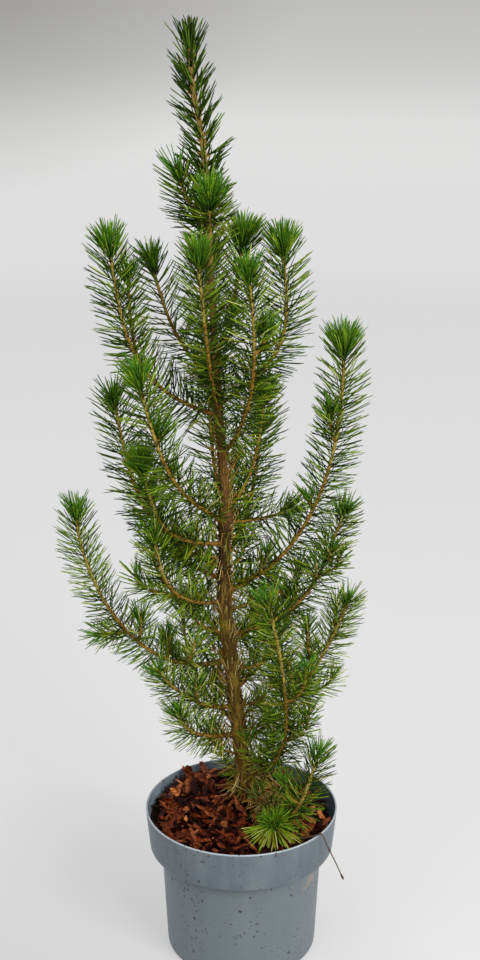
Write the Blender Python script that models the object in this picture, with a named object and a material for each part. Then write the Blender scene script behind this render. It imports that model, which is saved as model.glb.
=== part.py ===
"""Potted stone pine: a young pine about 0.75 m tall, growing in a 19 cm nursery pot.

Sizes are in metres. The origin is the centre of the pot's flat underside, +Z is up, and -Y is the side that
the front view shows. Each shoot leaves the trunk at its own height and bearing, sweeps outward and turns up.
Its bare foot is a bough, and the rest of it, with its needles, is one mass of foliage.
"""

import math
from collections import namedtuple

import bmesh
import bpy
import numpy as np

# Neighbouring solids stand this far apart. Edges sharper than the angle in degrees stay creased, and
# points closer than the merge distance are one point.
GAP = 0.0003
SHARP_ANGLE = 35
MERGE_DISTANCE = 1e-6

# The pot: a thin-walled nursery pot with a deep collar
POT_HEIGHT = 0.150
RIM_RADIUS = 0.095
COLLAR_HEIGHT = 0.041
COLLAR_FOOT_RADIUS = 0.091
COLLAR_LEDGE_FALL = 0.005
BODY_TOP_RADIUS = 0.0795
BODY_FOOT_RADIUS = 0.0745
FOOT_CHAMFER = 0.003
LIP_ROUND = 0.0005
WALL = 0.0016
FLOOR = 0.0022
POT_SIDES = 44
DRAIN_HOLES = 6
DRAIN_RADIUS = 0.006
DRAIN_CIRCLE_RADIUS = 0.052
DRAIN_SIDES = 12
DRAIN_CUTTER_DEPTH = 4 * FLOOR

# The compost and its bark mulch
SOIL_HEIGHT = 0.1395
SOIL_FALL_AT_WALL = 0.002
SOIL_LUMP = 0.0022
SOIL_SIDES = 30
SOIL_RINGS = 6
SOIL_SEED = 5

# The trunk, from its flat cut on the mulch to its tip
GROUND_HEIGHT = 0.142
GROUND_SPOT_RADIUS = 0.014
TRUNK_FOOT_HEIGHT = GROUND_HEIGHT + GAP
ROOT_FLARE = 0.0014
ROOT_FLARE_HEIGHT = 0.016
TRUNK_SIDES = 10
TRUNK_RINGS = 30

Bend = namedtuple("Bend", "height side back radius")
TRUNK_BENDS = (
    Bend(TRUNK_FOOT_HEIGHT, 0.0075, 0.0240, 0.0088),
    Bend(0.210, -0.0015, 0.0240, 0.0079),
    Bend(0.290, -0.0100, 0.0230, 0.0072),
    Bend(0.358, -0.0165, 0.0220, 0.0068),
    Bend(0.450, -0.0155, 0.0210, 0.0055),
    Bend(0.560, -0.0220, 0.0200, 0.0040),
    Bend(0.690, -0.0285, 0.0180, 0.0030),
    Bend(0.790, -0.0340, 0.0170, 0.0023),
    Bend(0.845, -0.0430, 0.0160, 0.0019),
    Bend(0.890, -0.0447, 0.0160, 0.0012),
)

Whorl = namedtuple("Whorl", "height swelling spread")
WHORLS = (
    Whorl(0.250, 0.0006, 0.006),
    Whorl(0.300, 0.0007, 0.006),
    Whorl(0.362, 0.0009, 0.007),
    Whorl(0.440, 0.0018, 0.009),
    Whorl(0.552, 0.0009, 0.008),
    Whorl(0.711, 0.0007, 0.006),
)

# Rings stand at each whorl's middle and this many spreads above and below it, and no others come closer than
# the clearance.
WHORL_RING_SPREADS = 1.5
WHORL_CLEAR_SPREADS = 1.8

# One row for each shoot. base and tip are heights, azimuth is the bearing of the tip from the trunk (0 is
# right, 90 is back), reach is how far out the tip stands, rise is the slope in degrees at which the shoot
# sets off, elbow and upright say how long it keeps that slope and how long it stands upright at its tip,
# lean tilts the tip outward, bow bends it sideways, bare is the share that is bough, and foot_radius is
# the bough's radius at the trunk.
Shoot = namedtuple(
    "Shoot", "name base azimuth reach tip rise elbow upright lean bow bare foot_radius"
)
SHOOTS = (
    Shoot("foot_front", 0.152, -49, 0.105, 0.243, 5, 0.95, 0.90, 5, -0.26, 0.15, 0.0022),
    Shoot("low_front", 0.168, -72, 0.060, 0.387, 25, 1.00, 0.60, -5, 0.50, 0.12, 0.0025),
    Shoot("low_right", 0.205, 10, 0.110, 0.355, 15, 0.70, 0.15, 0, 0.20, 0.17, 0.0025),
    Shoot("low_left_front", 0.215, -150, 0.070, 0.262, 5, 0.80, 0.50, 10, 0.00, 0.00, 0.0023),
    Shoot("low_back_left", 0.228, 128, 0.095, 0.335, 5, 0.75, 0.45, 10, 0.05, 0.18, 0.0024),
    Shoot("low_left", 0.247, -156, 0.083, 0.304, -10, 0.50, 0.15, 0, 0.00, 0.18, 0.0022),
    Shoot("low_back_right", 0.264, 48, 0.100, 0.375, 10, 0.75, 0.45, 5, 0.00, 0.18, 0.0024),
    Shoot("waist_left", 0.297, -175, 0.145, 0.460, -18, 0.70, 0.35, -5, 0.05, 0.18, 0.0027),
    Shoot("waist_back", 0.306, 114, 0.105, 0.392, 5, 0.75, 0.50, 5, 0.00, 0.17, 0.0024),
    Shoot("waist_right", 0.321, 15, 0.120, 0.445, -3, 0.88, 0.60, 10, 0.30, 0.17, 0.0025),
    Shoot("middle_left_front", 0.357, -157, 0.072, 0.446, 4, 0.95, 0.50, 5, 0.10, 0.17, 0.0021),
    Shoot("middle_right", 0.368, 0, 0.110, 0.615, 16, 0.65, 0.55, -3, 0.00, 0.12, 0.0027),
    Shoot("middle_left_back", 0.380, 158, 0.078, 0.462, 10, 0.75, 0.70, 0, -0.05, 0.16, 0.0021),
    Shoot("middle_back", 0.400, 68, 0.100, 0.520, 8, 0.80, 0.50, 0, 0.05, 0.15, 0.0022),
    Shoot("upper_left", 0.393, 169, 0.107, 0.562, 12, 0.90, 0.50, 8, -0.12, 0.17, 0.0024),
    Shoot("middle_left", 0.417, -159, 0.083, 0.512, 4, 0.95, 0.50, 16, 0.05, 0.17, 0.0022),
    Shoot("upper_right_back", 0.438, 35, 0.083, 0.443, -8, 0.85, 0.90, 0, 0.00, 0.17, 0.0019),
    Shoot("upper_left_front", 0.439, -145, 0.095, 0.600, 30, 0.90, 0.53, 7, 0.20, 0.13, 0.0024),
    Shoot("upper_back_right", 0.449, 55, 0.065, 0.560, 12, 0.80, 0.55, 0, 0.05, 0.12, 0.0021),
    Shoot("upper_back_left", 0.452, 103, 0.075, 0.575, 12, 0.80, 0.50, 5, 0.00, 0.13, 0.0021),
    Shoot("high_front", 0.504, -61, 0.046, 0.691, 50, 1.10, 0.53, -4, 0.30, 0.09, 0.0019),
    Shoot("high_left", 0.543, -173, 0.098, 0.710, 17, 0.86, 0.56, 6, 0.00, 0.11, 0.0021),
    Shoot("high_front_left", 0.552, -111, 0.048, 0.706, 0, 0.42, 0.34, 0, 0.08, 0.00, 0.0018),
    Shoot("high_right", 0.553, 12, 0.059, 0.707, 31, 1.55, 0.48, -4, -0.10, 0.10, 0.0019),
    Shoot("high_left_back", 0.567, 154, 0.069, 0.690, 42, 0.72, 0.73, 8, -0.20, 0.00, 0.0018),
    Shoot("high_back", 0.575, 98, 0.055, 0.690, 25, 0.80, 0.50, 0, 0.10, 0.00, 0.0018),
    Shoot("high_right_back", 0.599, 53, 0.044, 0.708, 26, 0.87, 0.39, 3, 0.14, 0.00, 0.0017),
    Shoot("top_left", 0.706, -172, 0.029, 0.773, 58, 0.80, 0.30, 8, 0.03, 0.00, 0.0014),
    Shoot("top_front", 0.712, -87, 0.035, 0.753, 30, 0.60, 0.40, 10, 0.00, 0.00, 0.0014),
)

# A side shoot leaves its shoot at a share of the shoot's length, goes out by reach at its own azimuth, and up
# by rise. The pulls on its curve are shares of reach and rise.
SideShoot = namedtuple("SideShoot", "name at azimuth reach rise")
SIDE_FIRST_PULL = (0.70, 0.15)
SIDE_LAST_PULL = (1.00, 0.35)
SIDE_SHOOTS = (
    SideShoot("foot_front", 0.36, -92, 0.040, 0.014),
    SideShoot("foot_front", 0.66, 160, 0.014, 0.030),
    SideShoot("low_front", 0.55, -20, 0.020, 0.045),
    SideShoot("low_right", 0.36, 20, 0.045, 0.026),
    SideShoot("low_right", 0.55, 170, 0.008, 0.056),
    SideShoot("low_right", 0.72, 60, 0.014, 0.046),
    SideShoot("low_back_left", 0.55, 170, 0.030, 0.035),
    SideShoot("low_back_right", 0.55, 80, 0.030, 0.040),
    SideShoot("low_left", 0.42, -100, 0.010, 0.034),
    SideShoot("waist_left", 0.26, 80, 0.014, 0.030),
    SideShoot("waist_left", 0.40, -60, 0.008, 0.038),
    SideShoot("waist_left", 0.46, -155, 0.036, 0.006),
    SideShoot("waist_back", 0.55, 60, 0.025, 0.045),
    SideShoot("waist_right", 0.66, -60, 0.012, 0.030),
    SideShoot("middle_left_front", 0.40, 185, 0.042, 0.030),
    SideShoot("middle_right", 0.68, 200, 0.006, 0.038),
    SideShoot("middle_back", 0.50, 120, 0.028, 0.045),
    SideShoot("upper_left_front", 0.66, 60, 0.006, 0.018),
    SideShoot("upper_back_left", 0.55, 80, 0.022, 0.040),
    SideShoot("high_front", 0.60, 20, 0.012, 0.030),
    SideShoot("high_left", 0.42, 122, 0.025, 0.088),
)

# The foliage that clothes the trunk itself, above its bare part
Leader = namedtuple("Leader", "name base top closed")
LEADERS = (
    Leader("leader_lower", 0.612, 0.698, False),
    Leader("leader_middle", 0.734, 0.800, False),
    Leader("leader_top", 0.804, 0.891, True),
)

# How needles grow
NEEDLE_LENGTH = 0.031
TUFT_NEEDLE_LENGTH = 0.026
NEEDLE_SLOPE = 60
TUFT_SLOPE = 18
NEEDLE_SLOPE_PLAY = 6
NEEDLE_LENGTH_PLAY = 0.15
NEEDLE_FOOT_RADIUS = 0.0038
NEEDLE_POINT_RADIUS = 0.0002
NEEDLE_ROOT_SHARE = 0.1
NEEDLE_SPACING = 0.0096
TUFT_SPACING = 0.0045
TUFT_RINGS = 3
TUFT_DEPTH = 0.022
BUD_LENGTH = 0.007
SHOOT_TWIST = 22
SHOOT_SIDES = 3
SHOOT_TIP_RADIUS = 0.0015
SHOOT_WIDENING = 1.25
SIDE_SHOOT_RADIUS = 0.0018
LEADER_SIDES = 5
SLEEVE_WALL = 0.0009
SLEEVE_SLACK = 0.0003
NEEDLE_SEED = 16

# What needles stay clear of: the mulch is booked as parallel rods, and a needle looks this many needle
# lengths round its foot.
MULCH_RODS = 24
MULCH_ROD_RADIUS = 0.0138
MULCH_ROD_DEPTH = 0.010
MULCH_ROD_STEPS = 10
RIM_ROD_RADIUS = 2 * WALL
LOOK_AROUND = 3
NEARLY_PARALLEL = 1e-18

# How finely a limb is cut into rings
PATH_STEPS = 48
FINE_STEPS = 4 * PATH_STEPS
BOUGH_SIDES = 6
BOUGH_RINGS = 5
BOUGH_TIP_RADIUS = 0.0018
BOUGH_ROOT_SWELLING = 1.1
STEEP = 0.9
TRUNK_SEAT = GAP + 0.0003
SEAT_AXIS_REACH = 0.004
FIRST_RING_MARGIN = 0.003

UP = np.array([0.0, 0.0, 1.0])

# Each surface is a colour and a roughness.
POT_BLUE = ((0.235, 0.285, 0.325), 0.45)
MULCH_BROWN = ((0.105, 0.036, 0.016), 0.90)
BARK_BROWN = ((0.150, 0.078, 0.034), 0.85)
YOUNG_BARK = ((0.260, 0.130, 0.045), 0.80)
NEEDLE_GREEN = ((0.045, 0.120, 0.022), 0.55)


def clear_scene():
    """Remove every object that is in the scene."""
    for thing in list(bpy.data.objects):
        bpy.data.objects.remove(thing, do_unlink=True)


def painted(name, colour, roughness):
    """A plain non-metal surface of one colour."""
    material = bpy.data.materials.new(name)
    material.use_nodes = True
    shader = material.node_tree.nodes["Principled BSDF"]
    shader.inputs["Base Color"].default_value = (*colour, 1.0)
    shader.inputs["Roughness"].default_value = roughness
    shader.inputs["Metallic"].default_value = 0.0
    material.diffuse_color = (*colour, 1.0)
    return material


def new_object(name, points, faces, material, smooth=False):
    """A mesh object from points and faces, with its faces turned outward."""
    mesh = bpy.data.meshes.new(name)
    mesh.from_pydata([tuple(point) for point in points], [], [tuple(face) for face in faces])
    work = bmesh.new()
    work.from_mesh(mesh)
    bmesh.ops.recalc_face_normals(work, faces=work.faces)
    work.to_mesh(mesh)
    work.free()
    if smooth:
        mesh.shade_smooth()
        mesh.set_sharp_from_angle(angle=math.radians(SHARP_ANGLE))
    mesh.materials.append(material)
    thing = bpy.data.objects.new(name, mesh)
    bpy.context.scene.collection.objects.link(thing)
    return thing


def bearing(azimuth):
    """The level unit vector at an azimuth in degrees."""
    angle = math.radians(azimuth)
    return np.array([math.cos(angle), math.sin(angle), 0.0])


# Pot


def pot_outside():
    """The pot's outer side in section, from the middle of its underside up to the rim."""
    ledge = POT_HEIGHT - COLLAR_HEIGHT
    return [
        (0.0, 0.0),
        (BODY_FOOT_RADIUS - FOOT_CHAMFER, 0.0),
        (BODY_FOOT_RADIUS, FOOT_CHAMFER),
        (BODY_TOP_RADIUS, ledge - COLLAR_LEDGE_FALL),
        (COLLAR_FOOT_RADIUS, ledge),
        (RIM_RADIUS, POT_HEIGHT - LIP_ROUND),
        (RIM_RADIUS - LIP_ROUND, POT_HEIGHT),
    ]


def pot_inside():
    """The pot's inner side in section, from the rim down to the edge of its floor."""
    ledge = POT_HEIGHT - COLLAR_HEIGHT
    return [
        (RIM_RADIUS - WALL, POT_HEIGHT),
        (COLLAR_FOOT_RADIUS - WALL, ledge + WALL),
        (BODY_TOP_RADIUS - WALL, ledge - COLLAR_LEDGE_FALL + WALL),
        (BODY_FOOT_RADIUS - WALL, FLOOR),
    ]


def make_pot(material):
    """The pot is its section turned about its axis, with a ring of drainage holes cut through the floor."""
    work = bmesh.new()
    section = pot_outside() + pot_inside() + [(0.0, FLOOR)]
    points = [work.verts.new((radius, 0.0, height)) for radius, height in section]
    edges = [work.edges.new(pair) for pair in zip(points, points[1:])]
    bmesh.ops.spin(
        work,
        geom=points + edges,
        cent=(0, 0, 0),
        axis=(0, 0, 1),
        angle=math.tau,
        steps=POT_SIDES,
        use_merge=True,
    )
    bmesh.ops.remove_doubles(work, verts=work.verts, dist=MERGE_DISTANCE)
    bmesh.ops.recalc_face_normals(work, faces=work.faces)
    mesh = bpy.data.meshes.new("pot")
    work.to_mesh(mesh)
    work.free()
    mesh.shade_smooth()
    mesh.set_sharp_from_angle(angle=math.radians(SHARP_ANGLE))
    mesh.materials.append(material)
    pot = bpy.data.objects.new("pot", mesh)
    bpy.context.scene.collection.objects.link(pot)
    for number in range(DRAIN_HOLES):
        place = DRAIN_CIRCLE_RADIUS * bearing(360 * number / DRAIN_HOLES)
        cutter = drain_cutter(f"drain_cutter_{number}", place, material)
        cut = pot.modifiers.new(f"drain_{number}", "BOOLEAN")
        cut.operation = "DIFFERENCE"
        cut.object = cutter
    return pot


def drain_cutter(name, place, material):
    """An upright rod through the floor, which is only a cutter."""
    work = bmesh.new()
    bmesh.ops.create_cone(
        work,
        cap_ends=True,
        segments=DRAIN_SIDES,
        radius1=DRAIN_RADIUS,
        radius2=DRAIN_RADIUS,
        depth=DRAIN_CUTTER_DEPTH,
    )
    mesh = bpy.data.meshes.new(name)
    work.to_mesh(mesh)
    work.free()
    mesh.materials.append(material)
    cutter = bpy.data.objects.new(name, mesh)
    cutter.location = place
    cutter.hide_render = True
    cutter.display_type = "WIRE"
    bpy.context.scene.collection.objects.link(cutter)
    return cutter


# Compost and mulch


def soil_radius_at(height):
    """The inside radius of the pot at a height, less the gap round the compost."""
    radii, heights = zip(*reversed(pot_inside()))
    return float(np.interp(height, heights, radii)) - GAP


def make_soil(material):
    """The compost fills the pot to just under the rim, lumpy but with a level spot under the trunk."""
    rng = np.random.default_rng(SOIL_SEED)
    spot = np.array([TRUNK_BENDS[0].side, TRUNK_BENDS[0].back])
    edge_height = SOIL_HEIGHT - SOIL_FALL_AT_WALL
    turn = np.arange(SOIL_SIDES) * math.tau / SOIL_SIDES
    circle = np.c_[np.cos(turn), np.sin(turn)]
    rings = []
    for share in np.linspace(0.0, 1.0, SOIL_RINGS + 1)[1:]:
        # The rings spread from the trunk's foot to the wall, so the level spot is the innermost ring.
        radius = GROUND_SPOT_RADIUS + share * (soil_radius_at(edge_height) - GROUND_SPOT_RADIUS)
        flat = spot * (1 - share) + circle * radius
        fall = SOIL_FALL_AT_WALL * share**2
        lump = rng.uniform(-SOIL_LUMP, SOIL_LUMP, SOIL_SIDES) * (share < 1)
        rings.append(np.c_[flat, SOIL_HEIGHT - fall + lump])
    level = np.c_[spot + circle * GROUND_SPOT_RADIUS, np.full(SOIL_SIDES, GROUND_HEIGHT)]
    rings.insert(0, level)
    ledge = POT_HEIGHT - COLLAR_HEIGHT
    for height in (ledge + WALL, ledge - COLLAR_LEDGE_FALL + WALL, FLOOR + GAP):
        wall = circle * soil_radius_at(height)
        rings.append(np.c_[wall, np.full(SOIL_SIDES, height + GAP)])
    points, faces = skinned(rings, [*spot, GROUND_HEIGHT], [0, 0, FLOOR + 2 * GAP])
    return new_object("soil", points, faces, material)


# Limbs


def skinned(rings, first_middle, last_middle):
    """Points and triangles of a closed skin over rings of equal size, with a fan at each end."""
    count = len(rings[0])
    points = np.concatenate([*rings, [first_middle], [last_middle]])
    faces = []
    for ring in range(len(rings) - 1):
        for side in range(count):
            a = ring * count + side
            b = ring * count + (side + 1) % count
            faces += [(a, b, b + count), (a, b + count, a + count)]
    first, last = len(points) - 2, len(points) - 1
    top = (len(rings) - 1) * count
    for side in range(count):
        after = (side + 1) % count
        faces += [(first, after, side), (last, top + side, top + after)]
    return points, faces


def trunk_at(height):
    """The trunk's place to the side and back and its radius at a height: a smooth curve through its bends."""
    heights = np.array([bend.height for bend in TRUNK_BENDS])
    places = np.array([[bend.side, bend.back, bend.radius] for bend in TRUNK_BENDS])
    slopes = np.gradient(places, heights, axis=0)
    span = int(np.clip(np.searchsorted(heights, height) - 1, 0, len(heights) - 2))
    size = heights[span + 1] - heights[span]
    t = (height - heights[span]) / size
    return (
        (2 * t**3 - 3 * t**2 + 1) * places[span]
        + (t**3 - 2 * t**2 + t) * size * slopes[span]
        + (3 * t**2 - 2 * t**3) * places[span + 1]
        + (t**3 - t**2) * size * slopes[span + 1]
    )


def trunk_point(height):
    """The middle of the trunk at a height."""
    side, back, _ = trunk_at(height)
    return np.array([side, back, height])


def trunk_radius(height):
    """The trunk's radius at a height, more where it meets the mulch and at each whorl."""
    radius = trunk_at(height)[2]
    radius += ROOT_FLARE * math.exp(-(height - TRUNK_FOOT_HEIGHT) / ROOT_FLARE_HEIGHT)
    for whorl in WHORLS:
        radius += whorl.swelling * math.exp(-(((height - whorl.height) / whorl.spread) ** 2))
    return radius


def make_trunk(material):
    """The trunk is a stack of round rings along its curve, closer together at each whorl."""
    heights = set(np.linspace(TRUNK_FOOT_HEIGHT, TRUNK_BENDS[-1].height, TRUNK_RINGS).round(4))
    for whorl in WHORLS:
        heights = {h for h in heights if abs(h - whorl.height) > WHORL_CLEAR_SPREADS * whorl.spread}
        reach = WHORL_RING_SPREADS * whorl.spread
        heights |= {whorl.height - reach, whorl.height, whorl.height + reach}
    heights = sorted(heights)
    turn = np.arange(TRUNK_SIDES) * math.tau / TRUNK_SIDES
    circle = np.c_[np.cos(turn), np.sin(turn), np.zeros(TRUNK_SIDES)]
    rings = [trunk_point(height) + circle * trunk_radius(height) for height in heights]
    points, faces = skinned(rings, trunk_point(heights[0]), trunk_point(heights[-1]))
    return new_object("trunk", points, faces, material, smooth=True)


def smooth_path(start, first_pull, last_pull, end):
    """Points at even steps of length along the cubic curve from start to end with these two pulls."""
    t = np.linspace(0, 1, FINE_STEPS + 1)[:, None]
    curve = (
        (1 - t) ** 3 * start
        + 3 * (1 - t) ** 2 * t * first_pull
        + 3 * (1 - t) * t**2 * last_pull
        + t**3 * end
    )
    walked = np.r_[0, np.cumsum(np.linalg.norm(np.diff(curve, axis=0), axis=1))]
    even = np.linspace(0, walked[-1], PATH_STEPS + 1)
    return np.c_[[np.interp(even, walked, curve[:, axis]) for axis in range(3)]].T


def shoot_path(shoot):
    """A shoot sets off outward from the middle of the trunk and turns up to its tip."""
    start = trunk_point(shoot.base)
    out = bearing(shoot.azimuth)
    side = bearing(shoot.azimuth + 90) * shoot.bow * shoot.reach
    rise = math.radians(shoot.rise)
    lean = math.radians(shoot.lean)
    end = start + out * shoot.reach + UP * (shoot.tip - shoot.base)
    set_off = out * math.cos(rise) + UP * math.sin(rise)
    stand = out * math.sin(lean) + UP * math.cos(lean)
    first_pull = start + set_off * shoot.elbow * shoot.reach + side
    last_pull = end - stand * shoot.upright * (shoot.tip - shoot.base) + side
    return smooth_path(start, first_pull, last_pull, end)


def side_shoot_path(parent, side_shoot):
    """A side shoot leaves its parent's path outward and turns up."""
    start = along(parent, side_shoot.at)
    out = bearing(side_shoot.azimuth) * side_shoot.reach
    rise = UP * side_shoot.rise
    first_pull = start + SIDE_FIRST_PULL[0] * out + SIDE_FIRST_PULL[1] * rise
    last_pull = start + SIDE_LAST_PULL[0] * out + SIDE_LAST_PULL[1] * rise
    return smooth_path(start, first_pull, last_pull, start + out + rise)


def along(path, share):
    """The point at a share of a path's length."""
    step = np.clip(share, 0, 1) * (len(path) - 1)
    low = int(min(step, len(path) - 2))
    return path[low] + (path[low + 1] - path[low]) * (step - low)


def path_length(path):
    """The length of a path whose points are evenly spaced."""
    return float(np.linalg.norm(path[1] - path[0]) * (len(path) - 1))


def frames(path, shares):
    """Middle, direction and two crosswise unit vectors at each share of a path, with the least turning."""
    middles = np.array([along(path, share) for share in shares])
    step = 0.5 / (len(path) - 1)
    ahead = np.array([along(path, share + step) - along(path, share - step) for share in shares])
    ahead /= np.linalg.norm(ahead, axis=1)[:, None]
    across = np.cross(ahead[0], UP if abs(ahead[0][2]) < STEEP else bearing(0))
    rows = []
    for direction in ahead:
        across = across - direction * (across @ direction)
        across /= np.linalg.norm(across)
        rows.append((across, np.cross(direction, across)))
    first = np.array([row[0] for row in rows])
    second = np.array([row[1] for row in rows])
    return middles, ahead, first, second


def rings_along(path, shares, radii, sides, twist=0.0):
    """Rings of points round a path at these shares of its length."""
    middles, _, first, second = frames(path, shares)
    rings = []
    for number, radius in enumerate(radii):
        turn = np.arange(sides) * math.tau / sides + math.radians(twist) * number
        ring = np.outer(np.cos(turn), first[number]) + np.outer(np.sin(turn), second[number])
        rings.append(middles[number] + ring * radius)
    return rings, middles


def seated_on_trunk(ring, direction, base, radius):
    """The ring slid along its direction until it lies a gap clear of the trunk, which here is a cylinder."""
    axis = trunk_point(base + SEAT_AXIS_REACH) - trunk_point(base - SEAT_AXIS_REACH)
    axis /= np.linalg.norm(axis)
    foot = trunk_point(base)
    seat = max(trunk_radius(base - radius), trunk_radius(base), trunk_radius(base + radius)) + TRUNK_SEAT
    away = ring - foot
    away = away - np.outer(away @ axis, axis)
    level = direction - axis * (direction @ axis)
    a = level @ level
    b = 2 * away @ level
    c = (away * away).sum(axis=1) - seat**2
    slide = (-b + np.sqrt(b * b - 4 * a * c)) / (2 * a)
    return ring + np.outer(slide, direction)


def clear_of_trunk(shoot, radius):
    """How far along a shoot its first whole ring is, where all of the ring has left the trunk."""
    rise = math.radians(shoot.rise)
    level = trunk_radius(shoot.base) + TRUNK_SEAT + radius * abs(math.sin(rise))
    return level / math.cos(rise) + FIRST_RING_MARGIN


def bough_shares(shoot, path):
    """The shares of a shoot's path at which its bough has rings, after the one on the trunk."""
    first = clear_of_trunk(shoot, shoot.foot_radius)
    return np.linspace(first / path_length(path), shoot.bare, BOUGH_RINGS)


def bough_radius(shoot, share):
    """The bough tapers evenly from the trunk to where the foliage begins."""
    return shoot.foot_radius + (BOUGH_TIP_RADIUS - shoot.foot_radius) * share / shoot.bare


def make_bough(shoot, path, material):
    """One tapering limb from the trunk's skin to where the shoot's foliage begins."""
    shares = bough_shares(shoot, path)
    radii = [bough_radius(shoot, share) for share in shares]
    rings, middles = rings_along(path, shares, radii, BOUGH_SIDES)
    root, root_middles = rings_along(path, [0.0], [BOUGH_ROOT_SWELLING * shoot.foot_radius], BOUGH_SIDES)
    set_off = along(path, 1 / PATH_STEPS) - path[0]
    set_off /= np.linalg.norm(set_off)
    whole = np.concatenate([root[0], root_middles])
    seated = seated_on_trunk(whole, set_off, shoot.base, shoot.foot_radius)
    points, faces = skinned([seated[:-1], *rings], seated[-1], middles[-1])
    return new_object(f"bough_{shoot.name}", points, faces, material, smooth=True)


# Room for needles: everything that a needle must stay clear of


class Room:
    """Keeps the tapered rods that are already there, and tells whether another has room."""

    def __init__(self):
        self.starts = np.zeros((0, 3))
        self.ends = np.zeros((0, 3))
        self.radii = np.zeros((0, 2))
        self.owners = np.zeros(0, int)

    def add(self, starts, ends, radii, owner):
        """Take up the room of these rods for one owner."""
        self.starts = np.concatenate([self.starts, starts])
        self.ends = np.concatenate([self.ends, ends])
        self.radii = np.concatenate([self.radii, radii])
        self.owners = np.concatenate([self.owners, np.full(len(starts), owner)])

    def add_path(self, path, radii, owner):
        """Take up the room of a limb whose radius changes evenly between these two."""
        spread = np.linspace(radii[0], radii[1], len(path))
        self.add(path[:-1], path[1:], np.c_[spread[:-1], spread[1:]], owner)

    def clear(self, start, end, radii, owner):
        """Whether a needle stays clear of the other limbs and needles. Its root may be close to a limb."""
        near = np.linalg.norm(self.starts - start, axis=1) < LOOK_AROUND * NEEDLE_LENGTH
        limbs = near & (self.owners >= 0) & (self.owners != owner)
        needles = near & (self.owners < 0) & (self.owners != -owner)
        root = start + NEEDLE_ROOT_SHARE * (end - start)
        root_radii = np.array([radii[0] + NEEDLE_ROOT_SHARE * (radii[1] - radii[0]), radii[1]])
        return self.gap_holds(
            root, end, root_radii, self.starts[limbs], self.ends[limbs], self.radii[limbs]
        ) and self.gap_holds(
            start, end, radii, self.starts[needles], self.ends[needles], self.radii[needles]
        )

    def clear_of_own(self, start, end, radii, owner):
        """Whether a needle's outer half stays clear of the outer half of its own shoot's other needles."""
        own = self.owners == -owner
        middles = (self.starts[own] + self.ends[own]) / 2
        outer = self.radii[own] / 2
        return self.gap_holds((start + end) / 2, end, radii / 2, middles, self.ends[own], outer)

    @staticmethod
    def gap_holds(start, end, radii, starts, ends, other_radii):
        """Whether one segment's distance to each of many, less both radii there, is over the gap."""
        if not len(starts):
            return True
        one = end - start
        many = ends - starts
        between = start - starts
        a = one @ one
        e = (many * many).sum(axis=1)
        b = many @ one
        c = between @ one
        f = (many * between).sum(axis=1)
        s = np.clip((b * f - c * e) / np.maximum(a * e - b * b, NEARLY_PARALLEL), 0, 1)
        t = np.clip((b * s + f) / e, 0, 1)
        s = np.clip((b * t - c) / a, 0, 1)
        apart = np.linalg.norm(between + np.outer(s, one) - t[:, None] * many, axis=1)
        here = radii[0] + (radii[1] - radii[0]) * s
        there = other_radii[:, 0] + (other_radii[:, 1] - other_radii[:, 0]) * t
        return bool((apart > here + there + GAP).all())


# Foliage


def needle_shares(length, first):
    """Shares of a stem's length at which it has rings: even steps, then closer ones in its tuft."""
    body_end = length - TUFT_RINGS * TUFT_SPACING
    steps = max(2, round((body_end - first) / NEEDLE_SPACING))
    body = np.linspace(first, body_end, steps + 1)
    tuft = body_end + TUFT_SPACING * np.arange(1, TUFT_RINGS + 1)
    return np.r_[body, tuft] / length


def grow_needles(rings, middles, faces_of_skin, tip, owner, room, rng):
    """Draw some of a stem's faces out into needles, and return all its points and triangles.

    A needle springs from the middle of a face. It leans forward from the stem, more so near the tip, and a
    needle with no room is left out, so its face stays plain.
    """
    points = np.concatenate([*rings])
    count = len(rings[0])
    grown = []
    faces = []
    for corners in faces_of_skin:
        foot = points[list(corners)].mean(axis=0)
        ring = min(corners) // count
        after = min(ring + 1, len(middles) - 1)
        ahead = middles[after] - middles[max(ring - (after == ring), 0)]
        ahead = ahead / np.linalg.norm(ahead)
        away = foot - middles[ring]
        away = away - ahead * (away @ ahead)
        away = away / np.linalg.norm(away)
        share = np.clip(1 - np.linalg.norm(tip - foot) / TUFT_DEPTH, 0, 1)
        slope = NEEDLE_SLOPE + (TUFT_SLOPE - NEEDLE_SLOPE) * share
        slope = math.radians(slope + rng.uniform(-NEEDLE_SLOPE_PLAY, NEEDLE_SLOPE_PLAY))
        length = NEEDLE_LENGTH + (TUFT_NEEDLE_LENGTH - NEEDLE_LENGTH) * share
        length *= 1 - rng.uniform(0, NEEDLE_LENGTH_PLAY)
        point = foot + length * (ahead * math.cos(slope) + away * math.sin(slope))
        radii = np.array([NEEDLE_FOOT_RADIUS, NEEDLE_POINT_RADIUS])
        if room.clear(foot, point, radii, owner) and room.clear_of_own(foot, point, radii, owner):
            # Needles are booked under the negative number of their stem.
            room.add(foot[None], point[None], radii[None], -owner)
            apex = len(points) + len(grown)
            grown.append(point)
            a, b, c = corners
            faces += [(a, b, apex), (b, c, apex), (c, a, apex)]
        else:
            faces.append(corners)
    if grown:
        points = np.concatenate([points, grown])
    return points, faces


def skin_faces(ring_count, sides):
    """The triangles between neighbouring rings, wound to face outward."""
    faces = []
    for ring in range(ring_count - 1):
        for side in range(sides):
            a = ring * sides + side
            b = ring * sides + (side + 1) % sides
            faces += [(a, b, a + sides), (b, b + sides, a + sides)]
    return faces


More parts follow.
